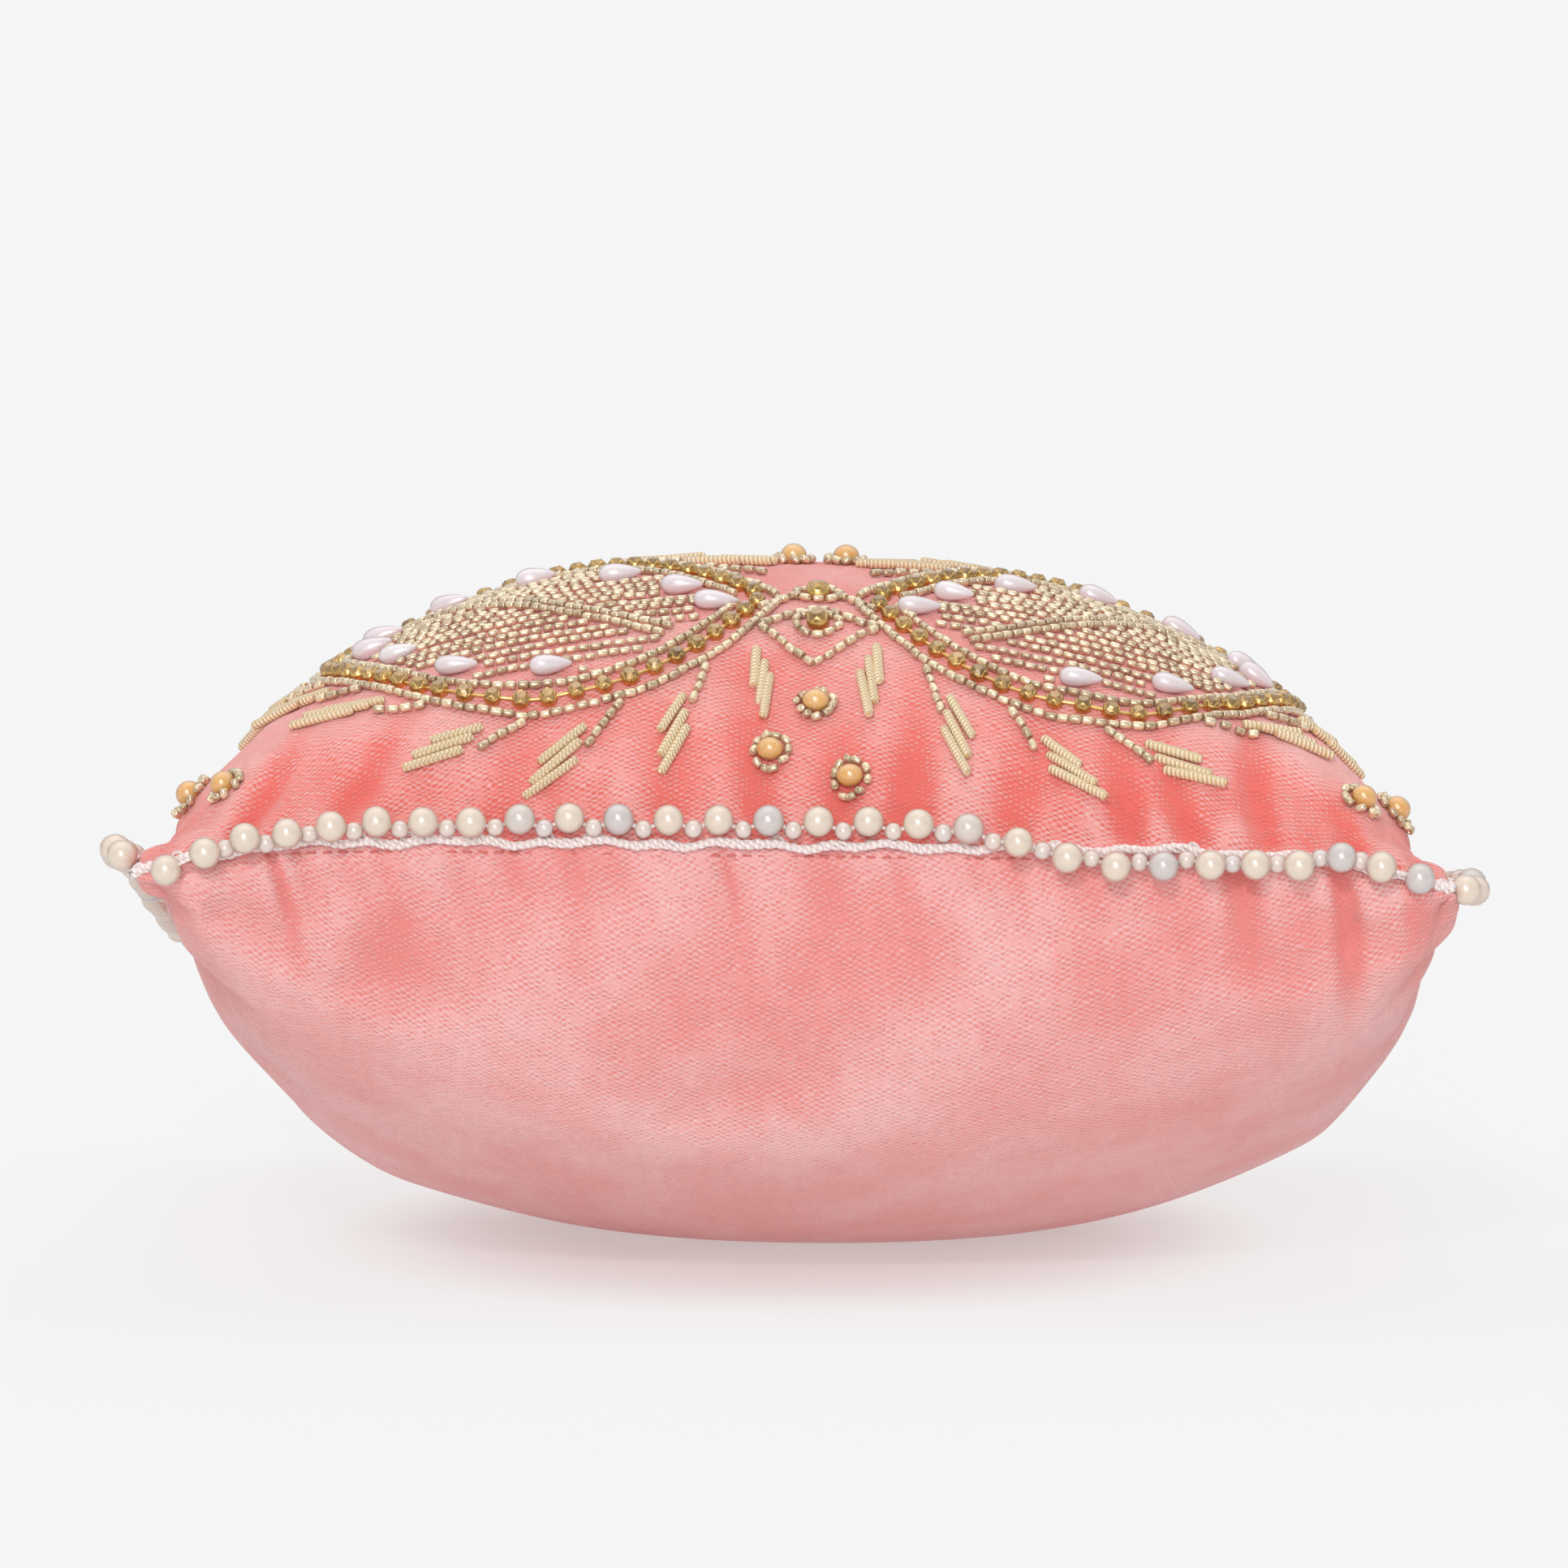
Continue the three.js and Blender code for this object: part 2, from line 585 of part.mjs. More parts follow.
// Groups of three gold coils side by side, couched on one thread that follows the border.
function bullionRays(wing) {
  const outside = RAY_THREAD_OFFSET + 2 * THREAD_RADIUS;
  const neck = (4 * THREAD_RADIUS) / BORDER_LENGTH;
  const { length, width, stagger, height } = BULLION;
  const outerSide = [];
  const innerSide = [];
  const count = Math.floor((RAYS.to - RAYS.from) / RAY_STEP);
  for (let half = 0; half <= 2 * count; half++) {
    const share = RAYS.from + (half * RAY_STEP) / 2;
    innerSide.push(besideBorder(share, RAY_THREAD_OFFSET));
    outerSide.push(besideBorder(share, outside));
    if (half % 2 || !hasRoom(share, BULLION)) continue;
    outerSide.push(besideRay(share, outside, stagger, width));
    outerSide.push(besideRay(share, outside, stagger + length, width));
    outerSide.push(besideRay(share, outside, length, 0));
    outerSide.push(besideBorder(share + neck, outside));
  }
  const outline = [...outerSide, ...innerSide.reverse()].map((point) => onPanel(wing, point));
  return plateOnPanel(outline, BULLION_GAP, height);
}

for (const wing of WINGS) {
  addPiece(`wing_${wing.name}_crystal_chain`, crystalChain(wing), CRYSTAL);
  addPiece(`wing_${wing.name}_outer_beads`, outerBeads(wing), GOLD_BEAD);
  addPiece(`wing_${wing.name}_inner_beads`, innerBeads(wing), GOLD_BEAD);
  addPiece(`wing_${wing.name}_midrib_beads`, midribBeads(wing), GOLD_BEAD);
  addPiece(`wing_${wing.name}_fill_beads`, fillBeads(wing), GOLD_BEAD);
  addPiece(`wing_${wing.name}_drop_pearls`, dropPearls(wing), DROP_PEARL);
  addPiece(`wing_${wing.name}_bullion_rays`, bullionRays(wing), BULLION_GOLD);
}

// ---- Centre motifs and flowers ---------------------------------------------------------------------

const EYE_STEPS = 12;

// Two crystals in cups on a bead row, with a diamond of beads round the lower one.
function eyeMotif(mirrorY) {
  const place = ([x, y]) => panelPoint(
    (MOTIF_CENTRE_X + x) * PATTERN_SCALE, mirrorY * y * PATTERN_SCALE, BEAD_LIFT,
  );
  const ring = [...EYE_DIAMOND, EYE_DIAMOND_END].map(place);
  const lowest = EYE_DIAMOND[2];
  const spine = [[0, EYE_CRYSTALS_Y[0]], [0, EYE_CRYSTALS_Y[1]], lowest].map(place);
  const rows = [ring, spine].map((points) => tubeAlong(smoothPath(points), BEAD_RADIUS, EYE_STEPS));
  const crystals = EYE_CRYSTALS_Y.map((y) => {
    const cup = new THREE.CylinderGeometry(EYE_CRYSTAL_RADIUS, EYE_CRYSTAL_RADIUS, EYE_CUP_HEIGHT, 6);
    cup.rotateX(Math.PI / 2);
    const x = MOTIF_CENTRE_X * PATTERN_SCALE;
    return cup.applyMatrix4(panelPlacement(x, mirrorY * y * PATTERN_SCALE, 0, BEAD_LIFT));
  });
  return fuse([...rows, ...crystals]);
}

addPiece('front_eye_motif', eyeMotif(1), CRYSTAL);
addPiece('back_eye_motif', eyeMotif(-1), CRYSTAL);

// A golden pearl sewn into a ring of seed beads.
function flower(x, y) {
  const profile = [
    [0, 0], [0.94, 0], [1, 0.25], [0.62, 0.36], [0.5, 0.72], [0, 1],
  ].map(([r, z]) => new THREE.Vector2(r * FLOWER_RADIUS, z * FLOWER_HEIGHT));
  const turned = new THREE.LatheGeometry(profile, 6).rotateX(Math.PI / 2);
  const scaledX = x * PATTERN_SCALE;
  return turned.applyMatrix4(panelPlacement(scaledX, y * PATTERN_SCALE, 0, STITCH_GAP));
}

const flowerPlaces = [1, -1].flatMap((mirrorY) => [
  ...FLOWERS.map(([x, y]) => [MOTIF_CENTRE_X + x, mirrorY * y]),
  ...[-1, 1].flatMap((mirrorX) => CORNER_FLOWERS.map(([x, y]) => [mirrorX * x, mirrorY * y])),
]);
flowerPlaces.forEach(([x, y], index) => {
  addPiece(`flower_${String(index + 1).padStart(2, '0')}`, flower(x, y), HONEY_PEARL);
});

// The part's origin is the middle of its base.
const box = new THREE.Box3().setFromObject(object);
const middle = box.getCenter(new THREE.Vector3());
object.position.set(-middle.x, -middle.y, -box.min.z);

export default object;
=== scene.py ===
"""Looks of the ring bearer pillow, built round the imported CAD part.

The classes below take lengths in millimetres. Meshes are in metres, in the CAD frame.
"""

import json
import logging
import math
from dataclasses import dataclass, field, replace
from enum import Enum, IntEnum
from typing import Sequence

import bpy
import numpy as np
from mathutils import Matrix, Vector

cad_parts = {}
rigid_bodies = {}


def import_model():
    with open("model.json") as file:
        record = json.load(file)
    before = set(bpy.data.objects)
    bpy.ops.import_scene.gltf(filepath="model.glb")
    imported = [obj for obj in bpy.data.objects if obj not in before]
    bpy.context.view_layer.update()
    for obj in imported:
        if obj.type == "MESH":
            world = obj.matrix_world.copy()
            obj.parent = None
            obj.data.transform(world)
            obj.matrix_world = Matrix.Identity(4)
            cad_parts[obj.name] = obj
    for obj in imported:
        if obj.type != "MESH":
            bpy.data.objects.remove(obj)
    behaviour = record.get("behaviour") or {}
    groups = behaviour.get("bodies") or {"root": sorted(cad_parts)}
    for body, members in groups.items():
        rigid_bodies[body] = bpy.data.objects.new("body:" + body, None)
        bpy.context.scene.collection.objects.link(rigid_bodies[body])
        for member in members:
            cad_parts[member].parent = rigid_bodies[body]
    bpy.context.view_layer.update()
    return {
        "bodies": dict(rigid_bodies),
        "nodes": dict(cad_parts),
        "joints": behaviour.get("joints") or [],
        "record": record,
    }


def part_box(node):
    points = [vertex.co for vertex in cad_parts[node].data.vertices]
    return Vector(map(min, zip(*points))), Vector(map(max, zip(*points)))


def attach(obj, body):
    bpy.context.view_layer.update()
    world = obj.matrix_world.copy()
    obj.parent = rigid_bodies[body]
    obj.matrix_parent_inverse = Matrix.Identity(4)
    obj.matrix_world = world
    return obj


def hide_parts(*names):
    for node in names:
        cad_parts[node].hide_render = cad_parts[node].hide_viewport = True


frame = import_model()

MM = 0.001
SEED = 20
LOG = logging.getLogger("pillow")
Array = np.ndarray


# ---- Forms: vertices, faces and marks as whole arrays --------------------------------------------


@dataclass(frozen=True)
class Form:
    """A closed surface or many of them. marks holds three numbers for the shader at each vertex."""

    verts: Array
    quads: Array
    tris: Array
    marks: Array
    quad_slots: Array
    tri_slots: Array
    quad_smooth: Array
    tri_smooth: Array

    @staticmethod
    def of(verts: Array, quads: Array, tris: Array, marks: Array, slot: int = 0) -> "Form":
        """A smooth form whose faces all take one material slot."""
        quads = np.asarray(quads, dtype=np.int64).reshape(-1, 4)
        tris = np.asarray(tris, dtype=np.int64).reshape(-1, 3)
        return Form(
            np.asarray(verts, dtype=float), quads, tris, np.asarray(marks, dtype=float),
            np.full(len(quads), slot), np.full(len(tris), slot),
            np.full(len(quads), True), np.full(len(tris), True),
        )

    def in_slot(self, slot: int) -> "Form":
        """The same form with every face in one material slot."""
        return replace(self, quad_slots=np.full(len(self.quads), slot),
                       tri_slots=np.full(len(self.tris), slot))

    def faceted(self) -> "Form":
        """The same form with flat faces."""
        return replace(self, quad_smooth=np.full(len(self.quads), False),
                       tri_smooth=np.full(len(self.tris), False))


def join(forms: Sequence[Form]) -> Form:
    """Several forms as one, with the face indices moved on past the vertices before them."""
    starts = np.cumsum([0] + [len(f.verts) for f in forms[:-1]])
    return Form(
        np.concatenate([f.verts for f in forms]),
        np.concatenate([f.quads + k for f, k in zip(forms, starts)]),
        np.concatenate([f.tris + k for f, k in zip(forms, starts)]),
        np.concatenate([f.marks for f in forms]),
        np.concatenate([f.quad_slots for f in forms]),
        np.concatenate([f.tri_slots for f in forms]),
        np.concatenate([f.quad_smooth for f in forms]),
        np.concatenate([f.tri_smooth for f in forms]),
    )


def lathe(profile: Sequence[tuple[float, float]], sides: int, slot: int = 0) -> Form:
    """A closed turned form about Z.

    Each profile point (radius, height) becomes a ring: x = radius cos a, y = radius sin a. The
    first and last points lie on the axis and become poles. Marks are the turn, the height and 0.
    """
    rings = np.array(profile[1:-1], dtype=float)
    turn = np.arange(sides) / sides
    angle = 2 * np.pi * turn
    x = rings[:, :1] * np.cos(angle)
    y = rings[:, :1] * np.sin(angle)
    z = np.repeat(rings[:, 1:], sides, axis=1)
    verts = np.stack([x, y, z], axis=-1).reshape(-1, 3)
    marks = np.stack([np.tile(turn, (len(rings), 1)), z, 0 * z], axis=-1).reshape(-1, 3)
    low, high = len(verts), len(verts) + 1
    poles = np.array([[0, 0, profile[0][1]], [0, 0, profile[-1][1]]], dtype=float)
    k = np.arange(sides)
    after = (k + 1) % sides
    base = (np.arange(len(rings) - 1) * sides)[:, None]
    quads = np.stack([base + k, base + after, base + sides + after, base + sides + k], axis=-1)
    top = (len(rings) - 1) * sides
    tris = np.concatenate([
        np.stack([np.full(sides, low), after, k], axis=-1),
        np.stack([np.full(sides, high), top + k, top + after], axis=-1),
    ])
    pole_marks = np.array([[0, profile[0][1], 0], [0, profile[-1][1], 0]], dtype=float)
    return Form.of(
        np.concatenate([verts, poles]), quads, tris, np.concatenate([marks, pole_marks]), slot
    )


def scatter(form: Form, origins: Array, bases: Array, sizes: Array, chances: Array) -> Form:
    """Copies of a form.

    Args:
        form: the shape that is repeated, about its own origin.
        origins: (m, 3) places.
        bases: (m, 3, 3) turns, whose columns are the copy's X, Y and Z.
        sizes: (m, 3) scale along the copy's own axes.
        chances: (m,) a random number for each copy, stored in the third mark.

    Returns:
        Every copy in one form: vertex = origin + base (size * vertex).
    """
    count, n = len(origins), len(form.verts)
    local = form.verts[None] * sizes[:, None]
    verts = np.einsum("mij,mnj->mni", bases, local) + origins[:, None]
    marks = np.repeat(form.marks[None], count, axis=0)
    marks[:, :, 2] = chances[:, None]
    step = (np.arange(count) * n)[:, None, None]
    return Form(
        verts.reshape(-1, 3), (form.quads[None] + step).reshape(-1, 4),
        (form.tris[None] + step).reshape(-1, 3), marks.reshape(-1, 3),
        np.tile(form.quad_slots, count), np.tile(form.tri_slots, count),
        np.tile(form.quad_smooth, count), np.tile(form.tri_smooth, count),
    )


def unit(vectors: Array) -> Array:
    """The vectors at length 1."""
    return vectors / np.maximum(np.linalg.norm(vectors, axis=-1, keepdims=True), 1e-12)


def path_frames(points: Array, closed: bool = False) -> tuple[Array, Array, Array]:
    """Tangents and two side directions along a path.

    The tangent is the central difference. The first side is the world's up less its part along
    the tangent, and the second is their cross product.
    """
    if closed:
        tangent = unit(np.roll(points, -1, axis=0) - np.roll(points, 1, axis=0))
    else:
        tangent = unit(np.gradient(points, axis=0))
    up = np.array([0.02, 0.01, 1.0])
    side = unit(up - tangent * (tangent @ up)[:, None])
    return tangent, side, np.cross(tangent, side)


def tube(points: Array, radius: Array, sides: int, closed: bool, slot: int = 0) -> Form:
    """A round tube: ring point = path + radius (cos a side + sin a cross). Marks: turn, length."""
    _, side, cross = path_frames(points, closed)
    turn = np.arange(sides) / sides
    a = 2 * np.pi * turn
    spokes = np.cos(a)[None, :, None] * side[:, None] + np.sin(a)[None, :, None] * cross[:, None]
    verts = (points[:, None] + np.asarray(radius).reshape(-1, 1, 1) * spokes).reshape(-1, 3)
    gaps = np.linalg.norm(np.diff(points, axis=0, prepend=points[:1]), axis=1)
    length = np.repeat(np.cumsum(gaps)[:, None], sides, axis=1)
    marks = np.stack([np.tile(turn, (len(points), 1)), length, 0 * length], -1).reshape(-1, 3)
    rows = len(points) if closed else len(points) - 1
    i = np.arange(rows)[:, None]
    k = np.arange(sides)[None]
    after = (k + 1) % sides
    upper = ((i + 1) % len(points)) * sides
    quads = np.stack([i * sides + k, upper + k, upper + after, i * sides + after], axis=-1)
    if closed:
        return Form.of(verts, quads[..., ::-1], [], marks, slot)
    last = (len(points) - 1) * sides
    ends = np.stack([points[0], points[-1]])
    n = len(verts)
    k, after = k[0], after[0]
    tris = np.concatenate([
        np.stack([np.full(sides, n), k, after], axis=-1),
        np.stack([np.full(sides, n + 1), last + after, last + k], axis=-1),
    ])
    verts = np.concatenate([verts, ends])
    marks = np.concatenate([marks, [[0, 0, 0], [0, length[-1, 0], 0]]])
    return Form.of(verts, quads[..., ::-1], tris[:, ::-1], marks, slot)


def make_object(name: str, form: Form, materials: Sequence[bpy.types.Material]) -> bpy.types.Object:
    """Puts a form, given in millimetres, into a mesh object at the origin of the CAD frame."""
    mesh = bpy.data.meshes.new(name)
    mesh.vertices.add(len(form.verts))
    mesh.vertices.foreach_set("co", (form.verts * MM).ravel())
    corners = np.concatenate([form.quads.ravel(), form.tris.ravel()])
    sizes = np.concatenate([np.full(len(form.quads), 4), np.full(len(form.tris), 3)])
    mesh.loops.add(len(corners))
    mesh.loops.foreach_set("vertex_index", corners.astype(np.int32))
    mesh.polygons.add(len(sizes))
    mesh.polygons.foreach_set("loop_start", (np.cumsum(sizes) - sizes).astype(np.int32))
    slots = np.concatenate([form.quad_slots, form.tri_slots]).astype(np.int32)
    mesh.polygons.foreach_set("material_index", slots)
    smooth = np.concatenate([form.quad_smooth, form.tri_smooth])
    mesh.polygons.foreach_set("use_smooth", smooth)
    mesh.update(calc_edges=True)
    marks = mesh.attributes.new("marks", "FLOAT_VECTOR", "POINT")
    marks.data.foreach_set("vector", form.marks.astype(np.float32).ravel())
    for material in materials:
        mesh.materials.append(material)
    obj = bpy.data.objects.new(name, mesh)
    bpy.context.scene.collection.objects.link(obj)
    return obj


def place_piece(obj: bpy.types.Object, nodes: Sequence[str]) -> bpy.types.Object:
    """Fixes a piece to the part's one body and lets it stand for its CAD nodes."""
    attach(obj, "root")
    if nodes:
        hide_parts(*nodes)
    LOG.info("%s: %d faces", obj.name, len(obj.data.polygons))
    return obj


# ---- Curves ----------------------------------------------------------------------------------------


def catmull_rom(points: Array, closed: bool, steps: int = 24) -> Array:
    """A centripetal Catmull-Rom curve through the points.

    Knots are spaced by the square root of the distance between points. Each span is the usual
    pyramid of linear blends between four knots (Barry and Goldman).
    """
    if closed:
        p = np.concatenate([points[-1:], points, points[:2]])
    else:
        p = np.concatenate([2 * points[:1] - points[1:2], points, 2 * points[-1:] - points[-2:-1]])
    knots = np.concatenate([[0], np.cumsum(np.linalg.norm(np.diff(p, axis=0), axis=1) ** 0.5)])
    spans = len(p) - 3
    i = np.repeat(np.arange(spans), steps)
    f = np.tile(np.arange(steps) / steps, spans)
    if not closed:
        i, f = np.append(i, spans - 1), np.append(f, 1.0)
    t = knots[i + 1] + f * (knots[i + 2] - knots[i + 1])

    def blend(a: Array, b: Array, ta: Array, tb: Array) -> Array:
        """The straight blend of two curves between two knots."""
        w = ((t - ta) / (tb - ta))[:, None]
        return a * (1 - w) + b * w

    k = [knots[i + n] for n in range(4)]
    q = [p[i + n] for n in range(4)]
    a1, a2, a3 = (blend(q[n], q[n + 1], k[n], k[n + 1]) for n in range(3))
    b1, b2 = blend(a1, a2, k[0], k[2]), blend(a2, a3, k[1], k[3])
    return blend(b1, b2, k[1], k[2])


def resample(points: Array, places: Array) -> Array:
    """The points of a polyline at the given lengths along it."""
    along = np.concatenate([[0], np.cumsum(np.linalg.norm(np.diff(points, axis=0), axis=1))])
    return np.stack([np.interp(places, along, points[:, n]) for n in range(points.shape[1])], -1)


def polyline_length(points: Array) -> float:
    """Length of a polyline."""
    return float(np.linalg.norm(np.diff(points, axis=0), axis=1).sum())


# ---- The pillow's shape ------------------------------------------------------------------------------


def grid_quads(count: int) -> Array:
    """Faces of a square grid with count points on a side, anticlockwise seen from above."""
    j, i = np.meshgrid(np.arange(count - 1), np.arange(count - 1), indexing="ij")
    a = (j * count + i).ravel()
    return np.stack([a, a + 1, a + count + 1, a + count], axis=-1)


def grid_rim(count: int) -> Array:
    """The outer points of that grid, anticlockwise from its first corner."""
    k = np.arange(count - 1)
    return np.concatenate([k, k * count + count - 1, count * count - 1 - k, (count - 1 - k) * count])


class Side(Enum):
    """The two covers: +1 is the top and -1 the bottom."""

    TOP = 1
    BOTTOM = -1


@dataclass(frozen=True)
class PillowShape:
    """The CAD part's smooth pillow, in millimetres."""

    seam_half: float = 101.6
    crown_top: float = 56
    crown_bottom: float = 57.5
    edge_bow: float = 0.035
    edge_push: float = 0.21
    top_edge: float = 2.44
    top_power: float = 0.66
    bottom_edge: float = 2.14
    bottom_power: float = 0.4
    seam_wave: float = 1.4
    corner_droop: float = 4.6
    belly_shift: float = 3.8
    roll: float = math.radians(0.73)
    lean: float = math.radians(9.5)
    panel_half: float = 101.6 * 1.142
    table_blend: float = 1.4
    settled: float = 1.5

    def upright(self, s: Array, t: Array, side: Side, inset: float = 0.0) -> Array:
        """The pillow before it leans, for s and t from -1 to 1.

        The filling pushes the cloth outwards, u = s (1 + push (1 - s^2)(1 - t^2)) and v likewise.
        The height is the crown times ((1 - |u|^edge)(1 - |v|^edge))^power, added to a seam that
        waves and droops at the corners. The edges bow in by (1 - t^2) and (1 - s^2).
        """
        top = side is Side.TOP
        edge, power = (
            (self.top_edge, self.top_power) if top else (self.bottom_edge, self.bottom_power)
        )
        crown = (self.crown_top if top else self.crown_bottom) - inset
        half = self.seam_half - inset
        push = self.edge_push * (1 - s * s) * (1 - t * t)
        u, v = s * (1 + push), t * (1 + push)
        rounding = (1 - np.abs(u) ** edge) * (1 - np.abs(v) ** edge)
        rise = np.maximum(rounding, 0) ** power
        seam = self.seam_wave * (t**4 - s**4) - self.corner_droop * (s * t) ** 8
        shift = 0.0 if top else self.belly_shift
        x = half * (1 - self.edge_bow * (1 - t * t)) * u + shift * (1 - (1 - rise) ** 6)
        y = half * (1 - self.edge_bow * (1 - s * s)) * v
        return np.stack([x, y, seam + side.value * crown * rise], axis=-1)

    def turn(self) -> Array:
        """The matrix that rolls the pillow about Y and then leans it back about X."""
        cr, sr = math.cos(self.roll), math.sin(self.roll)
        cl, sl = math.cos(-self.lean), math.sin(-self.lean)
        roll = np.array([[cr, 0, sr], [0, 1, 0], [-sr, 0, cr]])
        lean = np.array([[1, 0, 0], [0, cl, -sl], [0, sl, cl]])
        return lean @ roll

    def origin(self) -> Array:
        """The seam's centre in the CAD frame: the CAD cover's box against this formula's box."""
        line = np.linspace(-1, 1, 97)
        s, t = np.meshgrid(line, line)
        points = self.upright(s, t, Side.TOP) @ self.turn().T
        low, high = points.min(axis=(0, 1)), points.max(axis=(0, 1))
        lo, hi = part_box("top_cover")
        return (np.array(lo) + np.array(hi)) / 2 / MM - (low + high) / 2


class Edge(IntEnum):
    """The seam's four edges, anticlockwise from the front."""

    FRONT = 0
    RIGHT = 1
    BACK = 2
    LEFT = 3


@dataclass(frozen=True)
class Pucker:
    """A pleat that starts at the seam and runs in over the cloth.

    side is the seam's edge and along the place on it, from -1 to 1. width is the pleat's half
    width, reach how far it runs in and depth how far its valley sinks. drift moves its inner end
    along the seam. Lengths are in millimetres.
    """

    side: Edge
    along: float
    width: float
    reach: float
    depth: float
    drift: float = 0.0


BELLY_PUCKERS = (
    Pucker(Edge.FRONT, -0.80, 1.6, 15, 1.5, 1.5),
    Pucker(Edge.FRONT, -0.62, 6.0, 22, 0.6, -3),
    Pucker(Edge.FRONT, -0.33, 8.0, 18, 0.5, 2),
    Pucker(Edge.FRONT, -0.11, 1.4, 12, 1.0, 0.5),
    Pucker(Edge.FRONT, 0.02, 5.0, 20, 0.6, -2),
    Pucker(Edge.FRONT, 0.153, 1.6, 9, 0.9, 0),
    Pucker(Edge.FRONT, 0.42, 7.0, 24, 0.7, 3),
    Pucker(Edge.FRONT, 0.67, 3.2, 13, 1.9, -1.5),
    Pucker(Edge.FRONT, 0.825, 2.6, 24, 2.3, -1.2),
    Pucker(Edge.FRONT, 0.93, 2.0, 14, 0.9, -2),
)
CROWN_PUCKERS = (
    Pucker(Edge.FRONT, -0.86, 3.0, 22, 1.5, 12),
    Pucker(Edge.FRONT, -0.70, 4.0, 26, 1.3, 14),
    Pucker(Edge.FRONT, -0.45, 6.0, 20, 0.7, 4),
    Pucker(Edge.FRONT, -0.20, 5.0, 17, 0.9, 3),
    Pucker(Edge.FRONT, -0.05, 4.0, 24, 1.7, -2),
    Pucker(Edge.FRONT, 0.06, 4.0, 20, 1.0, 3),
    Pucker(Edge.FRONT, 0.185, 4.2, 26, 2.0, -1),
    Pucker(Edge.FRONT, 0.33, 5.5, 20, 0.9, 2),
    Pucker(Edge.FRONT, 0.52, 4.0, 21, 1.6, -5),
    Pucker(Edge.FRONT, 0.61, 4.0, 24, 1.8, -9),
    Pucker(Edge.FRONT, 0.72, 3.4, 27, 2.1, -5),
    Pucker(Edge.FRONT, 0.86, 3.2, 20, 1.3, -5),
)


def blurred(grid: Array, width: int) -> Array:
    """Each value's average over a square of the given width, with the edge values repeated."""
    reach = width // 2
    for axis in (0, 1):
        pad = [(reach + 1, reach) if k == axis else (0, 0) for k in (0, 1)]
        total = np.cumsum(np.pad(grid, pad, mode="edge"), axis=axis)
        size = total.shape[axis]
        later, earlier = range(width, size), range(size - width)
        grid = (np.take(total, later, axis) - np.take(total, earlier, axis)) / width
    return grid


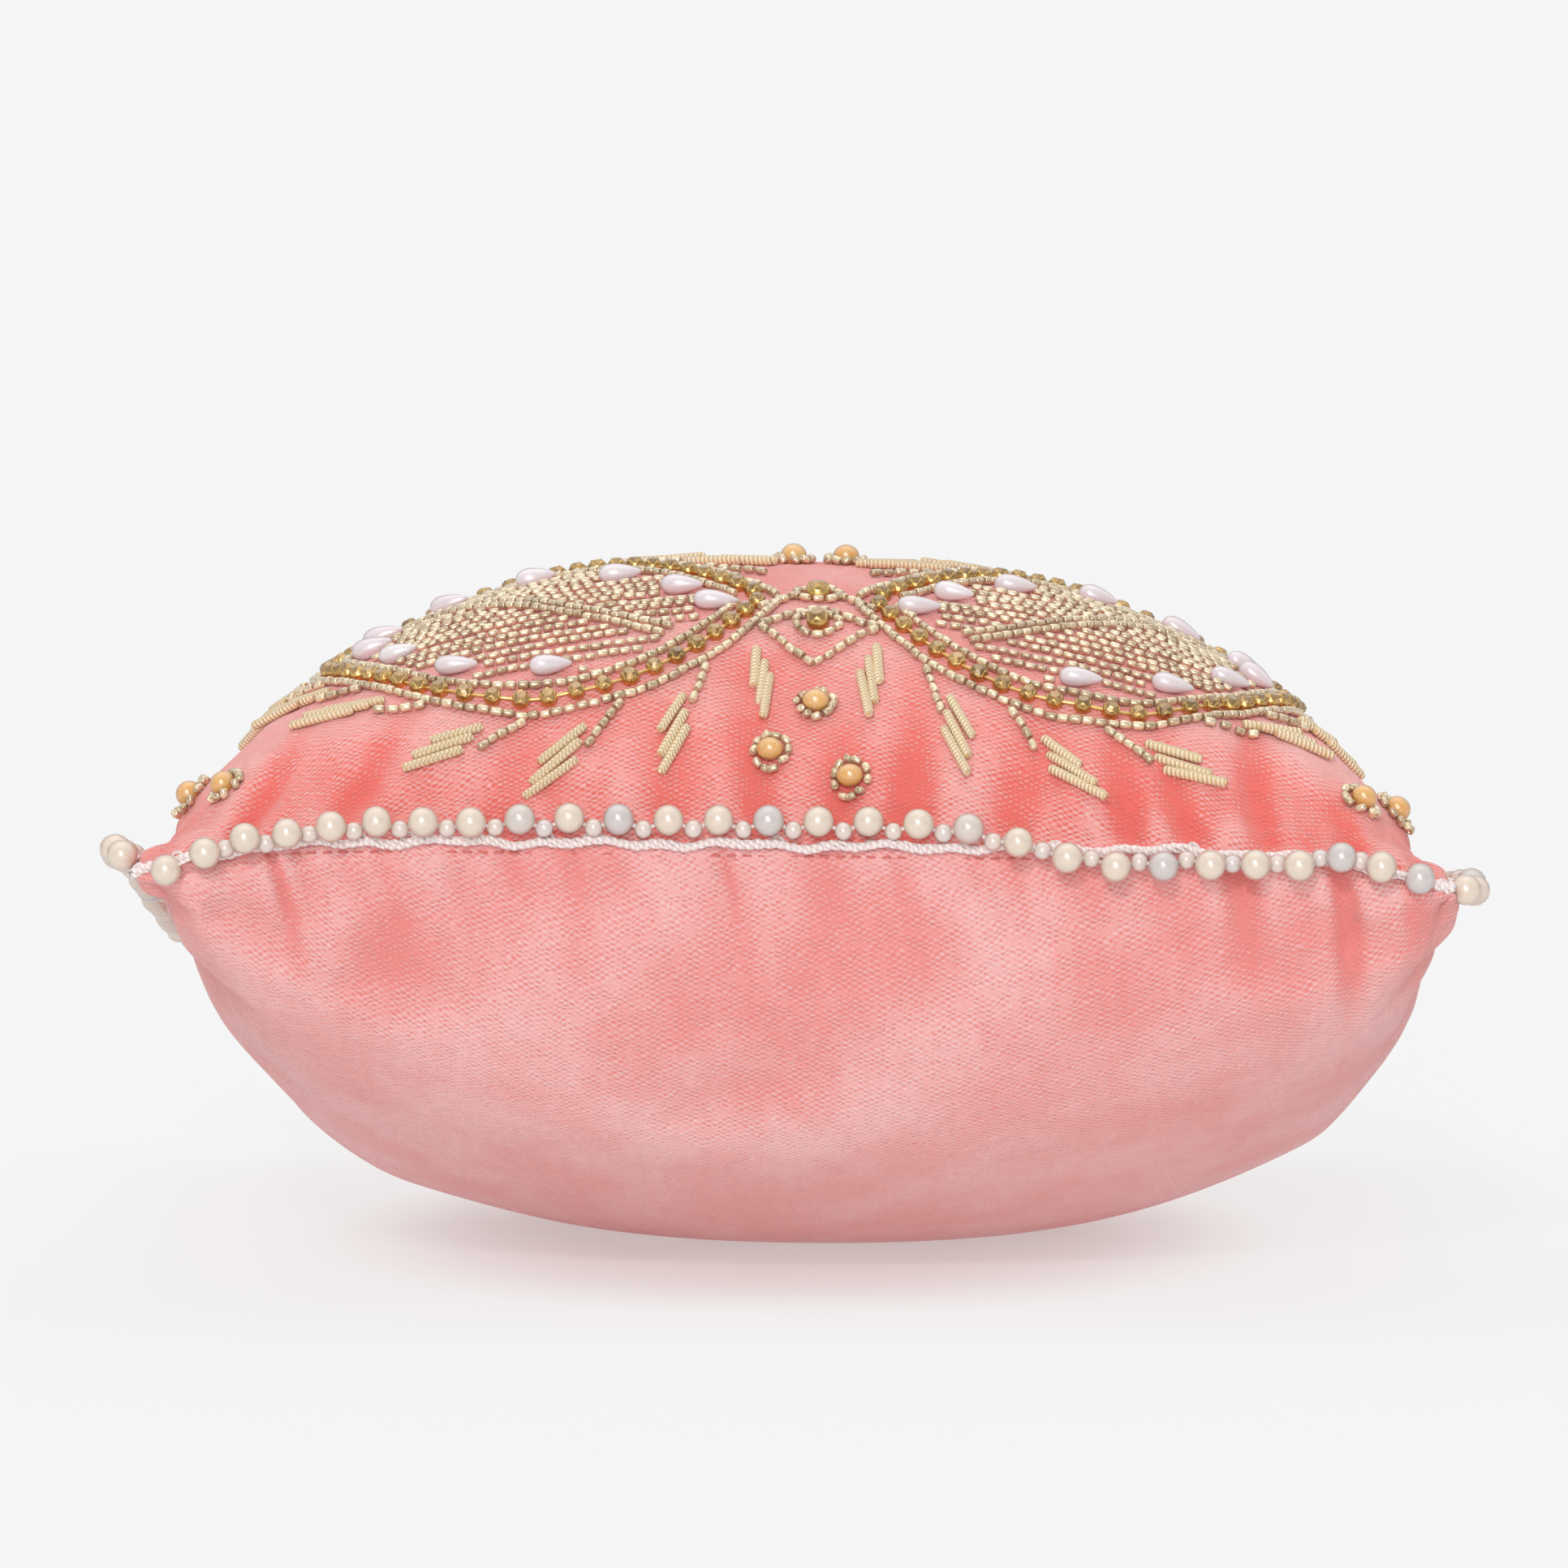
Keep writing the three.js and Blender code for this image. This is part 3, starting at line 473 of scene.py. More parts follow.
@dataclass
class Cloth:
    """One velvet cover as a fine grid, with its pleats and creases, and their depth kept for painted shade
    in the velvet's folds.
    """

    shape: PillowShape
    side: Side
    puckers: Sequence[Pucker]
    cells: int = 230
    thickness: float = 0.7
    gather_pitch: float = 10.0
    gather_depth: float = 0.36
    coarse_step: int = 5
    spare_cloth: float = 0.04
    pressure: float = 4.0
    bending: float = 0.2
    frames_run: int = 20
    crease_cap: float = 1.4
    points: Array = field(init=False)
    normals: Array = field(init=False)
    lines: Array = field(init=False)
    painted_fold_shade: Array = field(init=False)
    reach: Array = field(init=False)
    cut: Array = field(init=False)

    def __post_init__(self) -> None:
        """Works out the grid: the smooth surface, moved along its normals by the pleats.

        The grid lines are sign(e) (1 - (1 - |e|)^power), which crowds them towards the seam.
        """
        even = np.linspace(-1, 1, self.cells + 1)
        power = 1.6 if self.side is Side.TOP else 2.2
        self.lines = np.sign(even) * (1 - (1 - np.abs(even)) ** power)
        s, t = np.meshgrid(self.lines, self.lines)
        smooth = self.shape.upright(s, t, self.side) @ self.shape.turn().T + self.shape.origin()
        self.measure(smooth)
        folds = self.pleats(s, t) + self.gathers(s, t)
        relief = folds + self.softness(s, t)
        normals = self.grid_normals(smooth)
        relief = relief + self.creases(smooth, normals)
        # painted_fold_shade is the fold and crease depth, kept in the marks so the velvet shader paints
        # shade into the valleys and light onto the ridges.
        self.painted_fold_shade = folds + 0.25 * (relief - folds)
        if self.side is Side.TOP:
            relief = relief - self.shape.settled * (1 - s * s) * (1 - t * t)
        points = smooth + relief[..., None] * normals
        d, blend = points[..., 2], self.shape.table_blend
        points[..., 2] = (d + np.sqrt(d * d + blend * blend)) / 2
        self.points, self.normals = points, self.grid_normals(points)

    def grid_normals(self, grid: Array) -> Array:
        """Outward normals: the cross product of the grid's two central differences."""
        across = np.gradient(grid, axis=1)
        along = np.gradient(grid, axis=0)
        return unit(np.cross(across, along)) * self.side.value

    def measure(self, grid: Array) -> None:
        """Measures the cloth along its grid lines.

        reach holds each point's distance from the seam of each side, and cut its distance from
        the middle lines, which is where it lay on the flat cloth.
        """
        across = np.linalg.norm(np.diff(grid, axis=1, prepend=grid[:, :1]), axis=-1).cumsum(axis=1)
        along = np.linalg.norm(np.diff(grid, axis=0, prepend=grid[:1]), axis=-1).cumsum(axis=0)
        self.reach = np.stack([along, across[:, -1:] - across, along[-1:] - along, across])
        middle = self.cells // 2
        self.cut = np.stack([across - across[:, middle, None], along - along[None, middle]], -1)

    def side_places(self, s: Array, t: Array, side: int) -> tuple[Array, Array]:
        """Place along one side, and distance in from its seam, both in millimetres."""
        return (s, t, -s, -t)[side] * self.shape.panel_half, self.reach[side]

    def pleats(self, s: Array, t: Array) -> Array:
        """Sum of the named pleats.

        Across a pleat the height is -depth (1 - 2 q^2) exp(-q^2), with q the distance over the
        width, so that a ridge stands on each side. It dies away inwards as exp(-(d / reach)^2)
        and starts from nothing at the seam itself.
        """
        total = np.zeros_like(s)
        for p in self.puckers:
            along, inwards = self.side_places(s, t, p.side)
            share = np.clip(inwards / p.reach, 0, None)
            centre = p.along * self.shape.panel_half + p.drift * share
            q = (along - centre) / (p.width * (1 + 0.35 * share))
            start = 1 - np.exp(-inwards / 1.6)
            total -= p.depth * (1 - 1.1 * q * q) * np.exp(-q * q - share**2) * start
        return total

    def gathers(self, s: Array, t: Array) -> Array:
        """Small uneven gathers all round the seam, as random narrow pleats."""
        rng = np.random.default_rng(SEED + self.side.value)
        total = np.zeros_like(s)
        half = self.shape.panel_half
        for side in Edge:
            along, inwards = self.side_places(s, t, side)
            count = int(2 * half / self.gather_pitch)
            for k in range(count):
                centre = -half + (k + 0.5 + rng.uniform(-0.3, 0.3)) * self.gather_pitch
                width = rng.uniform(1.8, 4.2)
                reach = rng.uniform(7, 17)
                depth = self.gather_depth * rng.uniform(0.3, 1.6)
                share = inwards / reach
                q = (along - centre - rng.uniform(-3, 3) * share) / (width * (1 + 0.5 * share))
                start = 1 - np.exp(-inwards / 1.2)
                total -= depth * (1 - 1.1 * q * q) * np.exp(-q * q - share**2) * start
        return total

    def softness(self, s: Array, t: Array) -> Array:
        """Long soft waves of the filling: a sum of a few slow sines that stops at the seam."""
        rng = np.random.default_rng(SEED + 7 * self.side.value + 30)
        total = np.zeros_like(s)
        for _ in range(9):
            kx, ky = rng.uniform(-5.5, 5.5, 2)
            total += rng.uniform(0.05, 0.16) * np.sin(kx * s + ky * t + rng.uniform(0, 6.3))
        return total * np.minimum((1 - s**2) * (1 - t**2) * 3, 1)

    def blown(self, sheet: Array) -> Array:
        """A coarse grid of points after it is blown up, sewn down along its outer points."""
        count = len(sheet)
        quads = grid_quads(count)
        if self.side is Side.BOTTOM:
            quads = quads[:, ::-1]
        mesh = bpy.data.meshes.new("blown_sheet")
        mesh.from_pydata((sheet.reshape(-1, 3) * MM).tolist(), [], quads.tolist())
        obj = bpy.data.objects.new("blown_sheet", mesh)
        scene = bpy.context.scene
        scene.collection.objects.link(obj)
        seam = obj.vertex_groups.new(name="seam")
        seam.add(grid_rim(count).tolist(), 1.0, "REPLACE")
        modifier = obj.modifiers.new("blown", "CLOTH")
        settings = modifier.settings
        settings.quality = 5
        settings.use_pressure = True
        settings.uniform_pressure_force = self.pressure
        settings.vertex_group_mass = seam.name
        settings.effector_weights.gravity = 0.0
        settings.bending_stiffness = self.bending
        settings.shrink_min = -self.spare_cloth
        modifier.point_cache.frame_end = self.frames_run
        for frame in range(1, self.frames_run + 1):
            scene.frame_set(frame)
        result = obj.evaluated_get(bpy.context.evaluated_depsgraph_get()).data
        moved = np.empty(count * count * 3)
        result.vertices.foreach_get("co", moved)
        scene.frame_set(1)
        bpy.data.objects.remove(obj)
        bpy.data.meshes.remove(mesh)
        return moved.reshape(sheet.shape) / MM

    def creases(self, smooth: Array, normals: Array) -> Array:
        """How the sewn velvet creases when it is blown up from inside.

        Every fifth grid line makes a coarse sheet that is sewn down along the seam and cut a
        little too large, so that the pressure leaves it creased. What is kept is each point's
        capped move along its normal, less the same moves averaged over nine lines, because the
        smooth shape itself is known already.
        """
        step = self.coarse_step
        sheet = smooth[::step, ::step]
        move = ((self.blown(sheet) - sheet) * normals[::step, ::step]).sum(axis=-1)
        move = np.clip(move - blurred(move, 9), -self.crease_cap, self.crease_cap)
        coarse, fine = np.arange(len(sheet)) * step, np.arange(self.cells + 1)
        rows = np.stack([np.interp(fine, coarse, row) for row in move])
        full = np.stack([np.interp(fine, coarse, column) for column in rows.T], axis=-1)
        LOG.info("creases of %s from %.2f to %.2f mm", self.side.name, full.min(), full.max())
        return blurred(full, 5)

    def frames(self, x: Array, y: Array, lift: float | Array) -> tuple[Array, Array, Array, Array]:
        """Places on the cloth for flat panel coordinates, by blending the four nearest grid points.

        Returns:
            Points lifted off the cloth, and the directions of panel X, of panel Y and outwards.
        """
        half, last = self.shape.panel_half, self.cells
        numbers = np.arange(last + 1)
        i = np.clip(np.interp(np.asarray(x) / half, self.lines, numbers), 0, last - 1e-6)
        j = np.clip(np.interp(np.asarray(y) / half, self.lines, numbers), 0, last - 1e-6)
        i0, j0 = i.astype(int), j.astype(int)
        fi, fj = (i - i0)[..., None], (j - j0)[..., None]

        def blend(grid: Array) -> Array:
            """The grid's value between its four nearest points."""
            near = grid[j0, i0] * (1 - fi) + grid[j0, i0 + 1] * fi
            far = grid[j0 + 1, i0] * (1 - fi) + grid[j0 + 1, i0 + 1] * fi
            return near * (1 - fj) + far * fj

        normal = unit(blend(self.normals))
        across = self.points[j0, i0 + 1] - self.points[j0, i0]
        along = self.points[j0 + 1, i0] - self.points[j0, i0]
        across = unit(across - normal * (across * normal).sum(-1, keepdims=True))
        along = unit(along - normal * (along * normal).sum(-1, keepdims=True))
        lifted = blend(self.points) + normal * np.asarray(lift)[..., None]
        return lifted, across, along, normal

    def form(self) -> Form:
        """The cover as a closed shell: outer skin, inner skin and the rim at the seam."""
        n = self.cells + 1
        fade = np.minimum((1 - self.lines[None] ** 2) * (1 - self.lines[:, None] ** 2) * 30, 1)
        inner = self.points - self.normals * (self.thickness * (0.25 + 0.75 * fade))[..., None]
        marks = np.concatenate([self.cut, self.painted_fold_shade[..., None]], axis=-1).reshape(-1, 3)
        outer_quads, loop = grid_quads(n), grid_rim(n)
        after = np.roll(loop, -1)
        rim = np.stack([after, loop, loop + n * n, after + n * n], axis=-1)
        inner_quads = outer_quads[:, ::-1] + n * n
        quads = np.concatenate([outer_quads, inner_quads, rim])
        if self.side is Side.BOTTOM:
            quads = quads[:, ::-1]
        verts = np.concatenate([self.points.reshape(-1, 3), inner.reshape(-1, 3)])
        return Form.of(verts, quads, [], np.concatenate([marks, marks]))


# ---- Materials ---------------------------------------------------------------------------------------


class Nodes:
    """A node tree with short calls for the nodes used here."""

    def __init__(self, tree: bpy.types.NodeTree) -> None:
        """Keeps the tree that the nodes are made in."""
        self.tree = tree

    def add(self, kind: str, **settings: object) -> bpy.types.Node:
        """A new node with its settings."""
        node = self.tree.nodes.new(kind)
        for key, value in settings.items():
            setattr(node, key, value)
        return node

    def put(self, socket: bpy.types.NodeSocket, value: object) -> None:
        """Links or sets a socket."""
        if isinstance(value, bpy.types.NodeSocket):
            self.tree.links.new(value, socket)
        else:
            socket.default_value = value

    def math(self, operation: str, a: object, b: object = 0.0, c: object = 0.0) -> object:
        """A Math node's result."""
        node = self.add("ShaderNodeMath", operation=operation)
        for socket, value in zip(node.inputs, (a, b, c)):
            self.put(socket, value)
        return node.outputs[0]

    def mix(self, share: object, a: object, b: object, blend: str = "MIX") -> object:
        """A mixed colour."""
        node = self.add("ShaderNodeMix", data_type="RGBA", blend_type=blend)
        self.put(node.inputs[0], share)
        self.put(node.inputs[6], a)
        self.put(node.inputs[7], b)
        return node.outputs[2]

    def ramp(self, value: object, low: float, high: float, to: tuple[float, float] = (0, 1)) -> object:
        """A smooth step from low to high."""
        node = self.add("ShaderNodeMapRange", interpolation_type="SMOOTHSTEP")
        for socket, number in zip(node.inputs, (value, low, high, to[0], to[1])):
            self.put(socket, number)
        return node.outputs[0]

    def noise(self, vector: object, scale: float, detail: float = 2.0, rough: float = 0.5) -> object:
        """A noise texture's factor."""
        node = self.add("ShaderNodeTexNoise")
        self.put(node.inputs["Vector"], vector)
        self.put(node.inputs["Scale"], scale)
        self.put(node.inputs["Detail"], detail)
        self.put(node.inputs["Roughness"], rough)
        return node.outputs[0]

    def stretch(self, vector: object, scale: tuple[float, float, float]) -> object:
        """A vector scaled along each axis."""
        node = self.add("ShaderNodeVectorMath", operation="MULTIPLY")
        self.put(node.inputs[0], vector)
        self.put(node.inputs[1], scale)
        return node.outputs[0]

    def parts(self, vector: object) -> list:
        """A vector's X, Y and Z."""
        node = self.add("ShaderNodeSeparateXYZ")
        self.put(node.inputs[0], vector)
        return list(node.outputs)

    def marks(self) -> object:
        """The mesh's own marks."""
        return self.add("ShaderNodeAttribute", attribute_name="marks").outputs["Vector"]


SocketSpec = tuple[str, str, float | tuple[float, ...]]


def node_group(name: str, inputs: Sequence[SocketSpec], outputs: Sequence[SocketSpec]) -> tuple:
    """A new shader node group.

    Returns:
        The group, its Nodes helper, the inputs' sockets by name and the output node.
    """
    tree = bpy.data.node_groups.new(name, "ShaderNodeTree")
    for way, specs in (("INPUT", inputs), ("OUTPUT", outputs)):
        for label, kind, value in specs:
            socket = tree.interface.new_socket(name=label, in_out=way, socket_type=kind)
            socket.default_value = value
    nodes = Nodes(tree)
    given = nodes.add("NodeGroupInput")
    result = nodes.add("NodeGroupOutput")
    return tree, nodes, given.outputs, result


FLOAT, COLOR, VECTOR = "NodeSocketFloat", "NodeSocketColor", "NodeSocketVector"


def pile_group() -> bpy.types.NodeTree:
    """Velvet pile: brushed patches, streaks, the woven ground that shows through, fine nap, and painted
    shade in fold valleys with painted light on fold ridges.
    """
    tree, n, given, result = node_group(
        "VelvetPile",
        [("Place", VECTOR, (0, 0, 0)), ("Deep", COLOR, (1, 1, 1, 1)), ("Pale", COLOR, (1, 1, 1, 1)),
         ("Weave", FLOAT, 1.0), ("Brush", FLOAT, 1.0)],
        [("Color", COLOR, (1, 1, 1, 1)), ("Height", FLOAT, 0.0), ("Roughness", FLOAT, 0.8)],
    )
    place = given["Place"]
    x, y, painted_fold_shade = n.parts(place)
    flat = n.add("ShaderNodeCombineXYZ")
    n.put(flat.inputs[0], x)
    n.put(flat.inputs[1], y)
    flat = flat.outputs[0]
    wander = n.math("MULTIPLY", n.math("SUBTRACT", n.noise(flat, 0.35, 2), 0.5), 1.6)
    warp = n.math("SINE", n.math("MULTIPLY", n.math("ADD", x, wander), 2 * math.pi / 1.7))
    weft = n.math("SINE", n.math("MULTIPLY", n.math("ADD", y, wander), 2 * math.pi / 0.95))
    grid = n.math("MULTIPLY", n.math("MULTIPLY", warp, weft), 1.5)
    patchy = n.ramp(n.noise(flat, 0.5, 3, 0.6), 0.3, 0.6)
    woven = n.math("MULTIPLY", n.math("MULTIPLY", grid, patchy), given["Weave"])
    patches = n.ramp(n.noise(flat, 0.045, 3, 0.55), 0.36, 0.64)
    streaks = n.noise(n.stretch(flat, (0.55, 0.07, 1)), 1.0, 3, 0.6)
    nap = n.noise(flat, 2.6, 3, 0.7)
    fine = n.noise(flat, 7.0, 2, 0.7)
    tone = n.math("ADD", 0.42, n.math("MULTIPLY", n.math("SUBTRACT", patches, 0.5), 0.3))
    tone = n.math("ADD", tone, n.math("MULTIPLY", n.math("SUBTRACT", streaks, 0.5), given["Brush"]))
    tone = n.math("ADD", tone, n.math("MULTIPLY", woven, 0.4))
    tone = n.math("ADD", tone, n.math("MULTIPLY", n.math("SUBTRACT", nap, 0.5), 0.8))
    tone = n.math("ADD", tone, n.math("MULTIPLY", n.math("SUBTRACT", fine, 0.5), 0.3))
    # Painted shade and light: fold valleys darken towards Deep, fold ridges lighten towards Pale.
    tone = n.math("ADD", tone, n.math("MULTIPLY", painted_fold_shade, 0.5))
    tone = n.math("MINIMUM", n.math("MAXIMUM", tone, 0.0), 1.0)
    n.put(result.inputs["Color"], n.mix(tone, given["Deep"], given["Pale"]))
    height = n.math("ADD", n.math("MULTIPLY", woven, 0.5), n.math("MULTIPLY", nap, 1.2))
    n.put(result.inputs["Height"], n.math("ADD", height, n.math("MULTIPLY", fine, 0.5)))
    n.put(result.inputs["Roughness"], n.math("ADD", 0.62, n.math("MULTIPLY", nap, 0.3)))
    return tree


def nacre_group() -> bpy.types.NodeTree:
    """Pearl lacquer: each bead's own tint, a cloudy body and tiny bright flakes."""
    tree, n, given, result = node_group(
        "NacreLacquer",
        [("Warm", COLOR, (1, 1, 1, 1)), ("Cool", COLOR, (1, 1, 1, 1)), ("Chance", FLOAT, 0.5)],
        [("Color", COLOR, (1, 1, 1, 1)), ("Roughness", FLOAT, 0.3), ("Height", FLOAT, 0.0)],
    )
    where = n.add("ShaderNodeTexCoord").outputs["Object"]
    cloud = n.noise(where, 700, 3, 0.6)
    flake = n.ramp(n.noise(where, 5200, 1, 0.5), 0.6, 0.75)
    cool = n.ramp(given["Chance"], 0.7, 0.95)
    body = n.mix(cool, given["Warm"], given["Cool"])
    shaded = n.mix(n.math("MULTIPLY", n.math("SUBTRACT", cloud, 0.35), 0.5), body,
                   (0.62, 0.52, 0.44, 1))
    n.put(result.inputs["Color"], n.mix(n.math("MULTIPLY", flake, 0.5), shaded, (1, 0.97, 0.92, 1)))
    n.put(result.inputs["Roughness"], n.math("ADD", 0.22, n.math("MULTIPLY", cloud, 0.2)))
    n.put(result.inputs["Height"], n.math("ADD", cloud, flake))
    return tree


def gilt_group() -> bpy.types.NodeTree:
    """Gold with wear: each piece's own brightness, darker at marks, with scuffs."""
    tree, n, given, result = node_group(
        "WornGilt",
        [("Bright", COLOR, (1, 1, 1, 1)), ("Dark", COLOR, (0, 0, 0, 1)), ("Chance", FLOAT, 0.5),
         ("Scale", FLOAT, 1500.0)],
        [("Color", COLOR, (1, 1, 1, 1)), ("Roughness", FLOAT, 0.3), ("Height", FLOAT, 0.0)],
    )
    where = n.add("ShaderNodeTexCoord").outputs["Object"]
    scuff = n.noise(where, given["Scale"], 3, 0.6)
    share = n.math("ADD", n.math("MULTIPLY", given["Chance"], 0.55),
                   n.math("MULTIPLY", n.math("SUBTRACT", scuff, 0.45), 1.3))
    share = n.math("MINIMUM", n.math("MAXIMUM", share, 0.0), 1.0)
    n.put(result.inputs["Color"], n.mix(share, given["Bright"], given["Dark"]))
    n.put(result.inputs["Roughness"], n.math("ADD", 0.16, n.math("MULTIPLY", scuff, 0.3)))
    n.put(result.inputs["Height"], scuff)
    return tree


def twist_group() -> bpy.types.NodeTree:
    """Ridges wound round a thread or coil, from the marks turn and length."""
    tree, n, given, result = node_group(
        "TwistRidges",
        [("Place", VECTOR, (0, 0, 0)), ("Pitch", FLOAT, 1.0), ("Starts", FLOAT, 1.0)],
        [("Ridge", FLOAT, 0.0)],
    )
    turn, length, _ = n.parts(given["Place"])
    phase = n.math("SUBTRACT", n.math("DIVIDE", length, given["Pitch"]),
                   n.math("MULTIPLY", turn, given["Starts"]))
    wave = n.math("SINE", n.math("MULTIPLY", phase, 2 * math.pi))
    n.put(result.inputs["Ridge"], n.math("ADD", n.math("MULTIPLY", wave, 0.5), 0.5))
    return tree


@dataclass(frozen=True)
class Surface:
    """Even settings of a Principled shader."""

    name: str
    metallic: float = 0.0
    sheen: float = 0.0
    sheen_tint: tuple = (1.0, 1.0, 1.0, 1.0)
    sheen_roughness: float = 0.5
    coat: float = 0.0
    coat_roughness: float = 0.05
    specular: float = 0.5
    subsurface: float = 0.0
    ior: float = 1.5
    transmission: float = 0.0

    def start(self) -> tuple[bpy.types.Material, Nodes, bpy.types.Node]:
        """A new material with its Principled shader set and linked to the output."""
        material = bpy.data.materials.new(self.name)
        material.use_nodes = True
        nodes = Nodes(material.node_tree)
        shader = material.node_tree.nodes["Principled BSDF"]
        settings = {
            "Metallic": self.metallic, "Sheen Weight": self.sheen, "Sheen Tint": self.sheen_tint,
            "Sheen Roughness": self.sheen_roughness, "Coat Weight": self.coat,
            "Coat Roughness": self.coat_roughness, "Specular IOR Level": self.specular,
            "Subsurface Weight": self.subsurface, "IOR": self.ior,
            "Transmission Weight": self.transmission,
        }
        for key, value in settings.items():
            shader.inputs[key].default_value = value
        if self.subsurface:
            shader.inputs["Subsurface Radius"].default_value = (1.0, 0.8, 0.7)
            shader.inputs["Subsurface Scale"].default_value = 0.0012
        return material, nodes, shader


def bump(nodes: Nodes, shader: bpy.types.Node, height: object, depth: float, strength: float = 1.0) -> None:
    """Feeds a height in shares of depth, in metres, to the shader's normal."""
    node = nodes.add("ShaderNodeBump")
    node.inputs["Strength"].default_value = strength
    node.inputs["Distance"].default_value = depth
    nodes.put(node.inputs["Height"], height)
    nodes.put(shader.inputs["Normal"], node.outputs[0])


@dataclass(frozen=True)
class Finishes:
    """Every material of the pillow."""

    def velvet(self, name: str, deep: tuple, pale: tuple, weave: float,
               brush: float) -> bpy.types.Material:
        """Coral velvet, its colour mixed from deep to pale by brushed patches, nap and weave, with painted
        shade in its fold valleys and painted light on its ridges.
        """
        material, n, shader = Surface(
            name, sheen=0.55, sheen_tint=(1.0, 0.80, 0.80, 1), sheen_roughness=0.38, specular=0.25,
        ).start()
        group = n.add("ShaderNodeGroup", node_tree=bpy.data.node_groups["VelvetPile"])
        n.put(group.inputs["Place"], n.marks())
        n.put(group.inputs["Deep"], deep)
        n.put(group.inputs["Pale"], pale)
        n.put(group.inputs["Weave"], weave)
        n.put(group.inputs["Brush"], brush)
        n.put(shader.inputs["Base Color"], group.outputs["Color"])
        n.put(shader.inputs["Roughness"], group.outputs["Roughness"])
        bump(n, shader, group.outputs["Height"], 0.00016)
        return material

    def pearl(self, name: str, warm: tuple, cool: tuple, coat: float = 1.0) -> bpy.types.Material:
        """Lacquered pearl, its base colour darkened towards the rim as painted shade."""
        material, n, shader = Surface(
            name, coat=coat, coat_roughness=0.2, specular=1.0, subsurface=0.1,
        ).start()
        group = n.add("ShaderNodeGroup", node_tree=bpy.data.node_groups["NacreLacquer"])
        n.put(group.inputs["Warm"], warm)
        n.put(group.inputs["Cool"], cool)
        n.put(group.inputs["Chance"], n.parts(n.marks())[2])
        # Painted shade: the base colour darkens towards the pearl's rim as seen from the view.
        facing = n.add("ShaderNodeLayerWeight").outputs["Facing"]
        rim = n.ramp(facing, 0.25, 0.95, (0.0, 0.75))
        painted_rim_shade = n.mix(1.0, group.outputs["Color"], (0.55, 0.42, 0.36, 1), "MULTIPLY")
        n.put(shader.inputs["Base Color"], n.mix(rim, group.outputs["Color"], painted_rim_shade))
        n.put(shader.inputs["Roughness"], group.outputs["Roughness"])
        bump(n, shader, group.outputs["Height"], 0.00002)
        return material

    def gilt(self, surface: Surface, bright: tuple, dark: tuple, scale: float) -> bpy.types.Material:
        """Gold or gold-lined glass."""
        material, n, shader = surface.start()
        group = n.add("ShaderNodeGroup", node_tree=bpy.data.node_groups["WornGilt"])
        n.put(group.inputs["Bright"], bright)
        n.put(group.inputs["Dark"], dark)
        n.put(group.inputs["Scale"], scale)
        n.put(group.inputs["Chance"], n.parts(n.marks())[2])
        n.put(shader.inputs["Base Color"], group.outputs["Color"])
        n.put(shader.inputs["Roughness"], group.outputs["Roughness"])
        bump(n, shader, group.outputs["Height"], 0.00006)
        return material

    def wound(self, surface: Surface, painted_crest_light: tuple, valley: tuple, pitch: float, starts: float,
              depth: float, rough: float) -> bpy.types.Material:
        """A wound coil or twisted thread, with painted highlight on its ridges and painted shade in the
        grooves between them.
        """
        material, n, shader = surface.start()
        group = n.add("ShaderNodeGroup", node_tree=bpy.data.node_groups["TwistRidges"])
        n.put(group.inputs["Place"], n.marks())
        n.put(group.inputs["Pitch"], pitch)
        n.put(group.inputs["Starts"], starts)
        ridge = group.outputs["Ridge"]
        where = n.add("ShaderNodeTexCoord").outputs["Object"]
        fuzz = n.noise(where, 2600, 3, 0.7)
        share = n.math("ADD", ridge, n.math("MULTIPLY", n.math("SUBTRACT", fuzz, 0.5), 0.6))
        share = n.math("MINIMUM", n.math("MAXIMUM", share, 0.0), 1.0)
        # Painted light: the ridges take the pale crest colour as a painted highlight and the grooves the
        # dark valley colour as painted shade.
        n.put(shader.inputs["Base Color"], n.mix(share, valley, painted_crest_light))
        shader.inputs["Roughness"].default_value = rough
        height = n.math("ADD", ridge, n.math("MULTIPLY", fuzz, 0.4))
        bump(n, shader, height, depth)
        return material

    def plain(self, name: str, color: tuple, scale: float) -> bpy.types.Material:
        """Matt fibre with a faint mottle."""
        material, n, shader = Surface(name, specular=0.2).start()
        where = n.add("ShaderNodeTexCoord").outputs["Object"]
        mottle = n.noise(where, scale, 3, 0.6)
        dark = tuple(0.8 * c for c in color[:3]) + (1.0,)
        n.put(shader.inputs["Base Color"], n.mix(mottle, color, dark))
        shader.inputs["Roughness"].default_value = 0.9
        bump(n, shader, mottle, 0.0003)
        return material


# ---- Bead forms --------------------------------------------------------------------------------------


def seed_bead() -> Form:
    """A barrel one unit in radius and two units long, along Z, with a drilled end."""
    return lathe(
        [(0, -0.66), (0.4, -0.8), (0.74, -0.98), (0.98, -0.6), (1.0, 0.0), (0.98, 0.6),
         (0.74, 0.98), (0.4, 0.8), (0, 0.66)], 8,
    )


def ball(rings: int, sides: int) -> Form:
    """A ball of radius 1: radius sin a and height -cos a for even angles from pole to pole."""
    a = np.linspace(0, np.pi, rings + 1)
    profile = [(float(np.sin(v)), float(-np.cos(v))) for v in a]
    profile[0], profile[-1] = (0.0, -1.0), (0.0, 1.0)
    return lathe(profile, sides)


def drop() -> Form:
    """A teardrop 1 in radius and 4 long, along Z, rounder at its lower end."""
    a = np.linspace(0, np.pi, 11)
    z = -2.0 * np.cos(a)
    r = np.sin(a) ** 0.95 * (0.92 - 0.4 * (z / 2.0))
    r[0] = r[-1] = 0.0
    return lathe([(float(p), float(q)) for p, q in zip(r, z)], 12)


